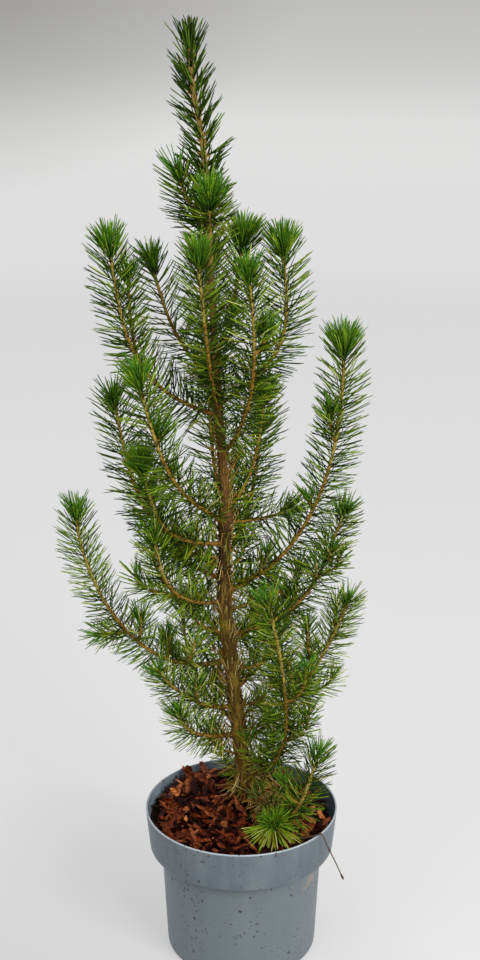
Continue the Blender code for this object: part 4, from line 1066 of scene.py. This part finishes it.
# The brush at a tip: its needles' slopes, lengths and widths from its middle outward.
TUFT_MIDDLE_SLOPE = 3
TUFT_SPREAD = 46
TUFT_SLOPE_PLAY = 3
TUFT_CROWDING = 0.75
TUFT_MIDDLE_LENGTH = 0.0245
TUFT_OUTER_LONGER = 0.0050
TUFT_LENGTHS = (0.85, 1.08)
TUFT_WIDTHS = (0.75, 0.95)
TUFT_RIM_FROM = 0.6
LOW_CROWN = (0.40, 0.56)
LOW_BRUSH_SHARE = 0.28
LOW_BRUSH_LENGTH = 0.64
OLD_LIMBS = (0.28, 0.38)
OLD_LENGTH = 0.87
OLD_CLOSER = 1.20
OLD_WIDTH = 0.82
OLD_PALER = 0.12
DEEP_CROWN = (0.64, 0.74)
DEEP_CROWN_TONE = -0.16
# Above zero a shoot's needles are paler than the others', below it deeper.
SHOOT_PALER = {"foot_front": -0.26, "low_front": -0.12, "low_right": 0.08, "low_back_right": 0.08}
FINER_LIMBS_PALER = 0.10
TUFT_SIZES = {
    "top_left": 0.52, "high_front": 0.62, "high_front_left": 0.78, "high_left": 0.92, "high_left_back": 0.78,
    "upper_left_front": 0.75, "upper_left": 0.70, "low_front": 0.80, "middle_right": 1.12,
    "high_right_back": 1.12,
}
TUFT_HEART = 0.25
# Painted light: shoots whose brush has a wider bright heart, lightening a tuft that stands in shade.
PAINTED_LIGHT_HEARTS = {"middle_left": 0.55}
CROWDED_TUFTS = {"middle_left": 2.2, "high_right_back": 1.3, "upper_left_front": 1.2}
STARTS = {"foot_front": 0.034, "low_front": 0.030}
SPARSE = {"upper_left": 0.80, "middle_left_front": 0.85, "middle_left": 0.85}
WITHERED_REACH = 0.058
WITHERED_SHARE = 0.60
AT_BACK = 0.30
BACK_SHARE = 0.62
GOLDEN_TURN = math.pi * (3 - math.sqrt(5))
SPRAY = 10
FOOT_SUNK = 0.6
# The share of olive needles falls to nothing this far from the trunk, and is less in the upper crown.
OLIVE_REACH = 0.08
OLIVE_HEIGHTS = (0.45, 0.60)
OLIVE_SHARES = (0.24, 0.10)
OLIVE_LOW = 0.05
TONE_AT_TIP = 0.58
TONE_FALL = 1.2
SPRAY_PLAY = 0.16
TONE_PLAY = 0.24
TONE_STEPS = (0.46, 0.76, 1.06)

Needles = namedtuple("Needles", "foot ahead away slope length width owner tone")
NEEDLE_TONES = {
    "deep": ((0.018, 0.039, 0.0012), 0.60),
    "green": ((0.072, 0.142, 0.0035), 0.58),
    "fresh": ((0.190, 0.300, 0.0120), 0.56),
    "pale": ((0.420, 0.470, 0.1200), 0.56),
    "tuft": ((0.052, 0.150, 0.0080), 0.55),
    "heart": ((0.145, 0.300, 0.0120), 0.55),
    "olive": ((0.195, 0.205, 0.0090), 0.60),
    "dry": ((0.300, 0.160, 0.032), 0.70),
    "straw": ((0.500, 0.390, 0.140), 0.70),
}
TONE = {name: number for number, name in enumerate(NEEDLE_TONES)}
needle_rng = np.random.default_rng(40)
batches = []


def chosen_by(count, **shares):
    """Tones by chance, each with its own share."""
    weights = np.array(list(shares.values()), float)
    return needle_rng.choice([TONE[name] for name in shares], count, p=weights / weights.sum())


def grow(limb, places, turn, slope, length, width, tone):
    """Add needles to a limb at these lengths along it and turns round it, their feet just under its skin."""
    foot, ahead, first, second = (
        read_off(places, limb.walked, rows) for rows in (limb.path, *framed(limb.path, limb.azimuth))
    )
    radii = np.interp(places, limb.walked, limb.radius)
    away = unit(first * np.cos(turn)[:, None] + second * np.sin(turn)[:, None])
    foot = foot + away * (FOOT_SUNK * radii)[:, None]
    owners = np.full(len(places), limb.owner)
    batches.append(Needles(foot, unit(ahead), away, slope, length, width, owners, tone))


def paired(places, rng):
    """Places and turns of needles in pairs: the pairs follow a golden spiral, and the two of a pair stand
    close."""
    turn = np.arange(len(places)) * GOLDEN_TURN + rng.uniform(0, math.tau)
    turn = turn + rng.normal(0, NEEDLE_TURN_PLAY, len(places))
    apart = np.tile([-PAIR_TURN, PAIR_TURN], len(places)) * rng.uniform(0.2, 1.6, 2 * len(places))
    return np.repeat(places, 2), np.repeat(turn, 2) + apart


def tones_along(from_tip, paler, olive, rng):
    """Tones dealt out by spray: deep on the old wood, fresher towards the tip, and olive within the crown."""
    spray = np.arange(len(from_tip)) // SPRAY
    mood = rng.normal(0, SPRAY_PLAY, spray.max() + 1)[spray] + rng.normal(0, TONE_PLAY, len(from_tip))
    level = TONE_AT_TIP - from_tip * TONE_FALL + mood + paler
    return np.where(rng.uniform(0, 1, len(from_tip)) < olive, TONE["olive"], np.digitize(level, TONE_STEPS))


for limb in limbs:
    growth = GROWTHS[limb.kind]
    shoot_name = limb.name if limb.kind == "shoot" else None
    length = limb.walked[-1]
    low = float(np.interp(limb.path[-1][2], LOW_CROWN, (1, 0)))
    old = float(np.interp(limb.path[0][2], OLD_LIMBS, (1, 0)))
    pairs = (length - growth.start) * growth.pairs_per_metre
    at_back = limb.kind in SOLID_KINDS and bearing(limb.azimuth)[1] > AT_BACK
    if at_back and limb.path[0][2] < DEEP_CROWN[0]:
        pairs = pairs * BACK_SHARE
    pairs = pairs * SPARSE.get(limb.name, 1.0) * (1 + (OLD_CLOSER - 1) * old)
    begin = STARTS.get(shoot_name, growth.start)
    pairs = pairs * (length - begin) / (length - growth.start)
    spots = np.linspace(begin, length - 0.002, max(3, round(pairs)))
    width = NEEDLE_WIDTH * (1 + (OLD_WIDTH - 1) * old)
    places, turn = paired(spots + needle_rng.normal(0, NEEDLE_PLACE_PLAY, len(spots)), needle_rng)
    from_tip = np.maximum(length - places, 0)
    slope = np.interp(from_tip, FROM_TIP, SLOPE_FROM_TIP)
    slope = slope + np.repeat(needle_rng.normal(0, NEEDLE_SLOPE_PLAY, len(spots)), 2)
    slope = slope + needle_rng.normal(0, PAIR_SLOPE, len(places))
    closeness = np.clip(1 - from_tip / TUFT_DEPTH, 0, 1)
    size = growth.length * (NEEDLE_LENGTH + (TUFT_NEEDLE_LENGTH - NEEDLE_LENGTH) * closeness)
    size = size * (1 - needle_rng.uniform(0, NEEDLE_LENGTH_PLAY, len(places))) * (1 + (OLD_LENGTH - 1) * old)
    at = read_off(places, limb.walked, limb.path)
    from_trunk = np.linalg.norm(at - trunk_point(at[:, 2]), axis=1)
    olive = np.clip(1 - from_trunk / OLIVE_REACH, 0, 1) * np.interp(at[:, 2], OLIVE_HEIGHTS, OLIVE_SHARES)
    olive = olive + OLIVE_LOW * low
    paler = OLD_PALER * old + (FINER_LIMBS_PALER if limb.kind != "shoot" else 0)
    paler = paler + SHOOT_PALER.get(limb.name, 0.0)
    paler = paler + np.interp(at[:, 2], DEEP_CROWN, (0, DEEP_CROWN_TONE))
    tone = tones_along(from_tip, paler, olive, needle_rng)
    tone = np.where((closeness > TUFT_TONE_FROM) & (tone < TONE["pale"]), TONE["tuft"], tone)
    if shoot_name == "foot_front":
        withered = (places < WITHERED_REACH) & (needle_rng.uniform(0, 1, len(places)) < WITHERED_SHARE)
        tone = np.where(withered, chosen_by(len(places), straw=3, dry=2, olive=3), tone)
    grow(limb, places, turn, slope, size, width * needle_rng.uniform(*NEEDLE_WIDTHS, len(places)), tone)
    # The brush at the tip: many needles close together, the innermost short and yellow-green.
    tuft_size = TUFT_SIZES.get(shoot_name, 1.0)
    crowd = CROWDED_TUFTS.get(shoot_name, 1.0)
    count = round(growth.brush * (1 + (LOW_BRUSH_SHARE - 1) * low) * tuft_size * crowd)
    places = length - needle_rng.uniform(0, 1, count) * growth.brush_depth
    turn = np.arange(count) * GOLDEN_TURN + needle_rng.normal(0, NEEDLE_TURN_PLAY, count)
    outer = needle_rng.uniform(0, 1, count) ** TUFT_CROWDING
    slope = TUFT_MIDDLE_SLOPE + TUFT_SPREAD * outer + needle_rng.normal(0, TUFT_SLOPE_PLAY, count)
    size = growth.length * (TUFT_MIDDLE_LENGTH + TUFT_OUTER_LONGER * outer)
    size = size * needle_rng.uniform(*TUFT_LENGTHS, count)
    size = size * (1 + (LOW_BRUSH_LENGTH - 1) * low) * tuft_size
    # Where a shoot is listed, its brush has a wider bright heart: painted light on a tuft in shade.
    tone = np.where(outer < PAINTED_LIGHT_HEARTS.get(limb.name, TUFT_HEART), TONE["heart"], TONE["tuft"])
    rim = chosen_by(count, green=4, tuft=4, fresh=2 + 3 * low)
    tone = np.where(outer > TUFT_RIM_FROM, rim, tone)
    grow(limb, places, turn, slope, size, width * needle_rng.uniform(*TUFT_WIDTHS, count), tone)

# The low shoot at the front ends in an open rosette: short fresh needles in its middle and upper part, and
# long yellowing ones that fan out and down over the mulch.
ROSETTE_NEEDLES = 620
ROSETTE_FADED = -0.10
ROSETTE_FADED_SHARE = 0.36
ROSETTE_DEPTH = 0.011
FADED_SLOPES = (40, 98)
FADED_LENGTHS = (0.022, 0.033)
FADED_WIDTH = 0.80
FRESH_SLOPE = 84
FRESH_CROWDING = 1.4
FRESH_LENGTHS = (0.011, 0.023)
FRESH_WIDTHS = (0.50, 0.75)
rosette = next(limb for limb in limbs if limb.kind == "side" and limb.name == "foot_front")
_, rosette_first, rosette_second = framed(rosette.path, rosette.azimuth)
turn = np.arange(ROSETTE_NEEDLES) * GOLDEN_TURN
lift = rosette_first[-1, 2] * np.cos(turn) + rosette_second[-1, 2] * np.sin(turn)
faded = lift < ROSETTE_FADED + needle_rng.normal(0, 0.2, ROSETTE_NEEDLES)
faded_slope = needle_rng.uniform(*FADED_SLOPES, ROSETTE_NEEDLES)
fresh_slope = FRESH_SLOPE * needle_rng.uniform(0, 1, ROSETTE_NEEDLES) ** FRESH_CROWDING
slope = np.where(faded, faded_slope, fresh_slope)
faded_size = needle_rng.uniform(*FADED_LENGTHS, ROSETTE_NEEDLES)
size = np.where(faded, faded_size, needle_rng.uniform(*FRESH_LENGTHS, ROSETTE_NEEDLES))
faded_tone = chosen_by(ROSETTE_NEEDLES, pale=1, fresh=6, straw=2, olive=4)
tone = np.where(faded, faded_tone, chosen_by(ROSETTE_NEEDLES, fresh=3, heart=4, tuft=4, olive=2))
keep = ~faded | (needle_rng.uniform(0, 1, ROSETTE_NEEDLES) < ROSETTE_FADED_SHARE)
places = rosette.walked[-1] - needle_rng.uniform(0, ROSETTE_DEPTH, ROSETTE_NEEDLES)
width = NEEDLE_WIDTH * np.where(faded, FADED_WIDTH, needle_rng.uniform(*FRESH_WIDTHS, ROSETTE_NEEDLES))
grow(rosette, *(column[keep] for column in (places, turn, slope, size, width, tone)))

# Where the low shoots leave the trunk's foot, their oldest needles have dried and hang as a straw-coloured
# skirt.
Skirt = namedtuple("Skirt", "name reach count least_slope most_slope")
SKIRTS = (
    Skirt("foot_front", 0.064, 190, 4, 62),
    Skirt("foot_front", 0.050, 50, 60, 120),
    Skirt("low_front", 0.036, 60, 25, 110),
    Skirt("low_left_front", 0.024, 24, 25, 110),
)
SKIRT_START = 0.008
SKIRT_LENGTHS = (0.014, 0.026)
SKIRT_WIDTHS = (0.65, 1.0)
for skirt in SKIRTS:
    grow(
        next(limb for limb in limbs if limb.name == skirt.name),
        needle_rng.uniform(SKIRT_START, skirt.reach, skirt.count),
        needle_rng.uniform(0, math.tau, skirt.count),
        needle_rng.uniform(skirt.least_slope, skirt.most_slope, skirt.count),
        needle_rng.uniform(*SKIRT_LENGTHS, skirt.count),
        NEEDLE_WIDTH * needle_rng.uniform(*SKIRT_WIDTHS, skirt.count),
        chosen_by(skirt.count, straw=5, dry=5, olive=1),
    )

# The trunk bears needles of its own, long and level within the crown. They stand in pairs up to the last
# whorl, and above it in bundles of a few nearly parallel ones.
BUNDLES_FROM = 0.730
BUNDLES = 74
BUNDLE_NEEDLES = 6
# Where the pairs stand, from a height to a height, and how many there are.
LEVEL_PAIRS = (0.385, 0.560, 60)
SLANTING_PAIRS = (0.560, BUNDLES_FROM, 150)
UPPER_PAIRS = (0.690, BUNDLES_FROM, 50)
PAIR_SLOPE_BY_HEIGHT = ((0.40, 0.55, 0.62, BUNDLES_FROM), (84, 76, 62, 56))
BUNDLE_SLOPE_BY_DEPTH = ((0.0, 0.010, 0.04, 0.16), (10, 22, 42, 57))
TOP_NEEDLES_SHORTER = 0.0095
TOP_NEEDLES_REACH = 0.02
trunk_walk = np.linspace(trunk_low.z, trunk_high.z, 700)
trunk_limb = Limb(
    "trunk", trunk_point(trunk_walk), trunk_walk, trunk_radius(trunk_walk), 0, "trunk", 0, -1
)
level_pairs = np.sort(needle_rng.uniform(*LEVEL_PAIRS))
slanting_pairs = np.sort(np.r_[needle_rng.uniform(*SLANTING_PAIRS), needle_rng.uniform(*UPPER_PAIRS)])
places, turn = paired(np.r_[level_pairs, slanting_pairs], needle_rng)
to_sides = (np.cos(turn) > -0.6) | (needle_rng.uniform(0, 1, len(turn)) < 0.3)
places, turn = places[to_sides], turn[to_sides]
slope = np.interp(places, *PAIR_SLOPE_BY_HEIGHT)
slope = slope + needle_rng.normal(0, 8, len(places))
grow(
    trunk_limb, places, turn, slope, NEEDLE_LENGTH * needle_rng.uniform(0.8, 1.08, len(places)),
    NEEDLE_WIDTH * needle_rng.uniform(0.8, 1.05, len(places)),
    chosen_by(len(places), deep=3, green=3, fresh=2, olive=2),
)
bundles = np.linspace(BUNDLES_FROM, trunk_high.z - BUD_BELOW_TIP - 0.001, BUNDLES)
bundle_slope = np.interp(trunk_high.z - bundles, *BUNDLE_SLOPE_BY_DEPTH)
bundle_slope = bundle_slope + needle_rng.normal(0, 10, BUNDLES)
places = np.repeat(bundles, BUNDLE_NEEDLES)
turn = np.repeat(np.arange(BUNDLES) * GOLDEN_TURN, BUNDLE_NEEDLES) + needle_rng.normal(0, 0.20, len(places))
slope = np.repeat(bundle_slope, BUNDLE_NEEDLES) + needle_rng.normal(0, 7, len(places))
near_top = np.clip(1 - (trunk_high.z - places) / TOP_NEEDLES_REACH, 0, 1)
size = NEEDLE_LENGTH - TOP_NEEDLES_SHORTER * near_top
grow(
    trunk_limb, places, turn, slope, size * needle_rng.uniform(0.60, 1.03, len(places)),
    NEEDLE_WIDTH * needle_rng.uniform(1.00, 1.25, len(places)),
    chosen_by(len(places), deep=15, green=5),
)

# Two papery brown bracts sheathe the foot of each bundle below the tip.
BRACTS_EACH = 2
BRACTS_END = 0.022
BRACT_BELOW_BUNDLE = 0.0006
BRACT_LENGTHS = (0.004, 0.007)
BRACT_WIDTHS = (1.1, 1.6)
sheathed = bundles < trunk_high.z - BRACTS_END
places = np.repeat(bundles[sheathed], BRACTS_EACH) - BRACT_BELOW_BUNDLE
turn = np.repeat((np.arange(BUNDLES) * GOLDEN_TURN)[sheathed], BRACTS_EACH)
turn = turn + needle_rng.normal(0, 0.3, len(places))
slope = np.repeat(bundle_slope[sheathed], BRACTS_EACH) + needle_rng.normal(0, 9, len(places))
grow(
    trunk_limb, places, turn, slope, needle_rng.uniform(*BRACT_LENGTHS, len(places)),
    NEEDLE_WIDTH * needle_rng.uniform(*BRACT_WIDTHS, len(places)), np.full(len(places), TONE["dry"]),
)
# Needles stand upright round the bud, all ending just under the plant's height.
BUD_NEEDLES = 36
BUD_REACH = 0.030
BUD_SLOPES = (4, 34)
BELOW_PLANT_TOP = 0.002
places = np.sort(trunk_high.z - BUD_BELOW_TIP - needle_rng.uniform(0, BUD_REACH, BUD_NEEDLES))
slope = needle_rng.uniform(*BUD_SLOPES, BUD_NEEDLES)
size = (cad_box[1][2] - BELOW_PLANT_TOP - places) / np.cos(np.radians(0.85 * slope))
grow(
    trunk_limb, places, np.arange(BUD_NEEDLES) * GOLDEN_TURN, slope,
    np.minimum(size, NEEDLE_LENGTH) * needle_rng.uniform(0.80, 0.98, BUD_NEEDLES),
    NEEDLE_WIDTH * needle_rng.uniform(0.9, 1.15, BUD_NEEDLES),
    chosen_by(BUD_NEEDLES, deep=8, green=3),
)

# Dried needles cling along the trunk below and within the crown, thickest round its foot, and a few hang
# under the main whorl.
DryBand = namedtuple("DryBand", "low high count least_slope most_slope straw shortest longest width")
DRY_BANDS = (
    DryBand(0.146, 0.188, 120, 70, 155, 0.25, 0.015, 0.028, 0.70),
    DryBand(0.190, 0.355, 260, 6, 40, 0.40, 0.015, 0.028, 0.75),
    DryBand(0.398, 0.440, 46, 168, 180, 0.55, 0.022, 0.036, 0.80),
    DryBand(0.345, 0.520, 120, 8, 50, 0.15, 0.015, 0.028, 0.70),
    DryBand(0.200, 0.620, 520, 35, 95, 0.05, 0.003, 0.007, 0.70),
)
for band in DRY_BANDS:
    length = needle_rng.uniform(band.shortest, band.longest, band.count)
    tone = np.where(needle_rng.uniform(0, 1, band.count) < band.straw, TONE["straw"], TONE["dry"])
    is_olive = needle_rng.uniform(0, 1, band.count) < 0.3 * (1 - band.straw)
    tone = np.where(is_olive, TONE["olive"], tone)
    grow(
        trunk_limb,
        np.sort(needle_rng.uniform(band.low, band.high, band.count)),
        needle_rng.uniform(0, math.tau, band.count),
        needle_rng.uniform(band.least_slope, band.most_slope, band.count),
        length,
        NEEDLE_WIDTH * band.width * needle_rng.uniform(0.8, 1.2, band.count),
        tone,
    )
needles = Needles(*(np.concatenate(column) for column in zip(*batches)))

NEEDLE_ROWS = np.array([0.0, 0.45, 0.90, 1.0])
NEEDLE_THICKNESS = np.array([0.80, 1.0, 0.80, 0.0])
NEEDLE_SIDES = 3
NEEDLE_CURL = 0.22
NEEDLE_CURL_PLAY = 0.10
NEEDLE_SWAY = 0.07
NEEDLE_WAVE = 0.035


def needle_spines(needles, rng):
    """Points along each needle: it sets off at its slope from the limb and curls forward by a share of that
    slope, swaying to one side."""
    count = len(needles.foot)
    steps = np.diff(NEEDLE_ROWS)
    middle = (NEEDLE_ROWS[1:] + NEEDLE_ROWS[:-1]) / 2
    curl = rng.normal(NEEDLE_CURL, NEEDLE_CURL_PLAY, count)
    angle = np.radians(needles.slope)[:, None] * (1 - curl[:, None] * (middle - 0.3))
    angle = angle + rng.normal(0, NEEDLE_WAVE, angle.shape)
    way = needles.ahead[:, None] * np.cos(angle)[..., None] + needles.away[:, None] * np.sin(angle)[..., None]
    sideways = np.cross(needles.ahead, needles.away)
    sway = rng.normal(0, NEEDLE_SWAY, (count, 1)) * middle + rng.normal(0, NEEDLE_WAVE, (count, len(middle)))
    way = unit(way + sideways[:, None] * sway[..., None])
    walk = np.cumsum(way * (steps[None, :, None] * needles.length[:, None, None]), axis=1)
    return np.concatenate([np.zeros((count, 1, 3)), walk], axis=1) + needles.foot[:, None]


def spikes(spines, widths, rng):
    """Points and triangles of a three-sided spike on each spine, closed at the foot, pointed at the tip."""
    count, rows, _ = spines.shape
    ahead = unit(np.gradient(spines, axis=1))
    across = unit(np.cross(ahead, rng.normal(0, 1, (count, 1, 3))))
    radius = widths[:, None] / math.sqrt(3) * NEEDLE_THICKNESS
    rings = tube(spines, across, np.cross(ahead, across), radius[..., None], NEEDLE_SIDES)
    points = np.concatenate([rings[:, :-1].reshape(count, -1, 3), spines[:, -1:]], axis=1)
    side = np.arange(NEEDLE_SIDES)
    after = (side + 1) % NEEDLE_SIDES
    faces = [np.array([[2, 1, 0]])]
    for row in range(rows - 2):
        a, b = row * NEEDLE_SIDES + side, row * NEEDLE_SIDES + after
        faces += [np.c_[a, b, b + NEEDLE_SIDES], np.c_[a, b + NEEDLE_SIDES, a + NEEDLE_SIDES]]
    last = (rows - 2) * NEEDLE_SIDES
    faces.append(np.c_[last + side, last + after, np.full(NEEDLE_SIDES, last + NEEDLE_SIDES)])
    faces = np.concatenate(faces)
    every = faces[None] + (np.arange(count) * points.shape[1])[:, None, None]
    return points.reshape(-1, 3), every.reshape(-1, 3)


spines = needle_spines(needles, needle_rng)

# A needle that would run into the trunk or another shoot, the rim or the mulch, or leave the plant's space,
# isn't there.
CLEAR_OF_LIMB = 0.0005
MULCH_TOP = 0.1435
DRY_MAY_SINK = 0.003
CLEAR_OF_RIM = 0.003
SAMPLE_STEP = 3
TRUNK_SAMPLE_STEP = 0.003
heights = np.arange(trunk_low.z, trunk_high.z, TRUNK_SAMPLE_STEP)
sampled = [limb for limb in limbs if limb.kind in SOLID_KINDS]
sampled = [(limb.path[::SAMPLE_STEP], limb.radius[::SAMPLE_STEP], limb.owner) for limb in sampled]
sampled.append((trunk_point(heights), trunk_radius(heights), trunk_limb.owner))
limb_points = np.concatenate([points for points, _, _ in sampled])
limb_radii = np.concatenate([radii for _, radii, _ in sampled])
limb_owners = np.concatenate([np.full(len(points), owner) for points, _, owner in sampled])


def blocked(spines, owners):
    """Whether the outer part of each needle comes too close to the trunk or a shoot that isn't its own.

    It is probed at its points and halfway between them, against samples along the limbs. Too close is nearer
    to a sample than the limb's radius there and a little more.
    """
    hit = np.zeros(len(spines), bool)
    middles = (spines[:, 1:] + spines[:, :-1]) / 2
    probes = np.concatenate([spines[:, 1:], middles[:, 1:]], axis=1)
    for begin in range(0, len(spines), 400):
        chunk = slice(begin, begin + 400)
        low = probes[chunk].min(axis=(0, 1)) - 0.01
        high = probes[chunk].max(axis=(0, 1)) + 0.01
        near = ((limb_points > low) & (limb_points < high)).all(axis=1)
        gap = probes[chunk][:, :, None] - limb_points[near][None, None]
        apart = np.sqrt((gap**2).sum(axis=3)) - limb_radii[near] - CLEAR_OF_LIMB
        other = limb_owners[near][None, None] != owners[chunk][:, None, None]
        hit[chunk] = ((apart < 0) & other).any(axis=(1, 2))
    return hit


from_axis = np.hypot(spines[..., 0], spines[..., 1])
sunk = ((spines[..., 2] < MULCH_TOP) & (from_axis < RIM_RADIUS + 0.001))[:, 1:].any(axis=1)
at_rim = (np.abs(from_axis - RIM_RADIUS) < CLEAR_OF_RIM) & (spines[..., 2] < POT_HEIGHT + 0.0006)
by_rim = at_rim.any(axis=1)
room_low = np.array(cad_box[0]) + NEEDLE_WIDTH
room_high = np.array(cad_box[1]) - NEEDLE_WIDTH
outside = ((spines < room_low) | (spines > room_high)).any(axis=(1, 2))
dry = (needles.tone == TONE["dry"]) | (needles.tone == TONE["straw"])
buried = dry & (spines[..., 2] < MULCH_TOP - DRY_MAY_SINK).any(axis=1)
gone = blocked(spines, needles.owner) | outside | by_rim | (sunk & ~dry) | buried

needle_nodes = sorted(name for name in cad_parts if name.startswith("needles_"))
for name, (colour, roughness) in NEEDLE_TONES.items():
    chosen = (needles.tone == TONE[name]) & ~gone
    needle_finish = Finish(f"needles_{name}", colour, roughness, sheen=0.10)
    needle_mesh = spikes(spines[chosen], needles.width[chosen], needle_rng)
    needle_piece = piece_of(f"needles_{name}", *needle_mesh, needle_finish.material)
    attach(needle_piece, "root")
    if name == "green":
        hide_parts(*needle_nodes)

# Setting
# A plain pale floor that curves up into a wall all round, soft light from above and in front, and the camera,
# which stands 1.24 m away and 0.86 m up, near the height of the plant's top, and looks 17 degrees down. The
# floor and wall glow as painted light, dimming up the wall, with painted shade in a patch on the wall at the
# back left and on the floor in front and to the left of the pot.

FLOOR_RADIUS = 3.6
WALL_RADIUS = 5.0
WALL_HEIGHT = 3.2
SETTING_TONE = (0.20, 0.20, 0.20)
SETTING_GLOW = 0.56
SETTING_SINK = 0.0004
GLOW_HEIGHT = 1.2
# The glow dims up the wall: painted shade.
GLOW_AND_SHADE_UP_THE_WALL = (
    (0.0, (0.92, 0.92, 0.92)),
    (0.10, (0.98, 0.98, 0.98)),
    (0.40, (1.0, 1.0, 0.99)),
    (0.50, (0.96, 0.96, 0.95)),
    (0.70, (0.70, 0.70, 0.69)),
    (0.88, (0.61, 0.60, 0.59)),
)
# Painted shade: a darker patch on the wall at the back left, and one on the floor in front and to the left.
SHADED_CORNER = ((-1.5, 4.9, 1.5), (1.9, 1.9, 1.3))
CORNER_SHADE_TONE = (0.08, 0.07, 0.06)
SHADED_FLOOR = ((-0.36, -0.22, 0.0), (0.60, 0.56, 0.5))
SHADE_TONE = (0.52, 0.52, 0.52)
SKY_TONE = (0.98, 0.99, 1.0)
SKY_STRENGTH = 0.80
CAMERA_PLACE = (-0.00134, -1.23975, 0.86305)
CAMERA_PITCH = 16.893
LONG_SIDE_PIXELS = 960
FOCAL_PIXELS = 1400
SENSOR_SIZE = 36

bend = np.linspace(0, math.pi / 2, 24)
curve = WALL_RADIUS - FLOOR_RADIUS
cove = np.stack([FLOOR_RADIUS + curve * np.sin(bend), curve * (1 - np.cos(bend))], axis=1)
setting_section = np.concatenate([[(0.001, 0.0), (0.5, 0.0)], cove, [(WALL_RADIUS, WALL_HEIGHT)]])
setting_points = turned(setting_section, 96)[0]
rows, sides = setting_points.shape[:2]
grid = np.arange(rows * sides).reshape(rows, sides)
a, b = grid[:-1].ravel(), np.roll(grid, -1, axis=1)[:-1].ravel()
setting_faces = np.concatenate([np.c_[a, b + sides, b], np.c_[a, a + sides, b + sides]])
setting_finish = Finish("setting", SETTING_TONE, 0.9)
# Painted light: the setting glows, with painted shade mixed into its glow.
glow = setting_finish.ramp(setting_finish.height_of_place(0.0, GLOW_HEIGHT), *GLOW_AND_SHADE_UP_THE_WALL)
glow = setting_finish.mix(setting_finish.near(*SHADED_CORNER), glow, CORNER_SHADE_TONE)
glow = setting_finish.mix(setting_finish.near(*SHADED_FLOOR), glow, SHADE_TONE)
setting_finish.feed(setting_finish.shader.inputs["Emission Color"], glow)
setting_finish.feed(setting_finish.shader.inputs["Emission Strength"], SETTING_GLOW)
setting = piece_of("setting", setting_points.reshape(-1, 3), setting_faces, setting_finish.material)
setting.location.z = -SETTING_SINK

world = bpy.data.worlds.new("overcast")
world.use_nodes = True
sky = world.node_tree.nodes["Background"]
sky.inputs["Color"].default_value = (*SKY_TONE, 1)
sky.inputs["Strength"].default_value = SKY_STRENGTH
bpy.context.scene.world = world


def soft_light(name, place, target, size, power, colour):
    """A square lamp at a place, turned to a target."""
    lamp = bpy.data.lights.new(name, "AREA")
    lamp.size = size
    lamp.energy = power
    lamp.color = colour
    thing = bpy.data.objects.new(name, lamp)
    thing.location = place
    way = np.array(target) - np.array(place)
    level = math.hypot(way[0], way[1])
    thing.rotation_euler = (math.atan2(level, -way[2]), 0, math.atan2(way[1], way[0]) - math.pi / 2)
    bpy.context.scene.collection.objects.link(thing)


soft_light("window", (1.5, -1.9, 1.75), (0, 0, 0.42), 1.3, 84, (1.0, 0.99, 0.96))
soft_light("fill", (-1.4, -1.6, 1.9), (0, 0, 0.45), 1.6, 26, (0.97, 0.98, 1.0))

camera_data = bpy.data.cameras.new("camera")
camera_data.sensor_width = SENSOR_SIZE
camera_data.lens = FOCAL_PIXELS * SENSOR_SIZE / LONG_SIDE_PIXELS
camera = bpy.data.objects.new("camera", camera_data)
camera.location = CAMERA_PLACE
camera.rotation_euler = (math.radians(90 - CAMERA_PITCH), 0, 0)
bpy.context.scene.collection.objects.link(camera)
bpy.context.scene.camera = camera
bpy.context.scene.view_settings.view_transform = "Standard"

bpy.context.view_layer.update()
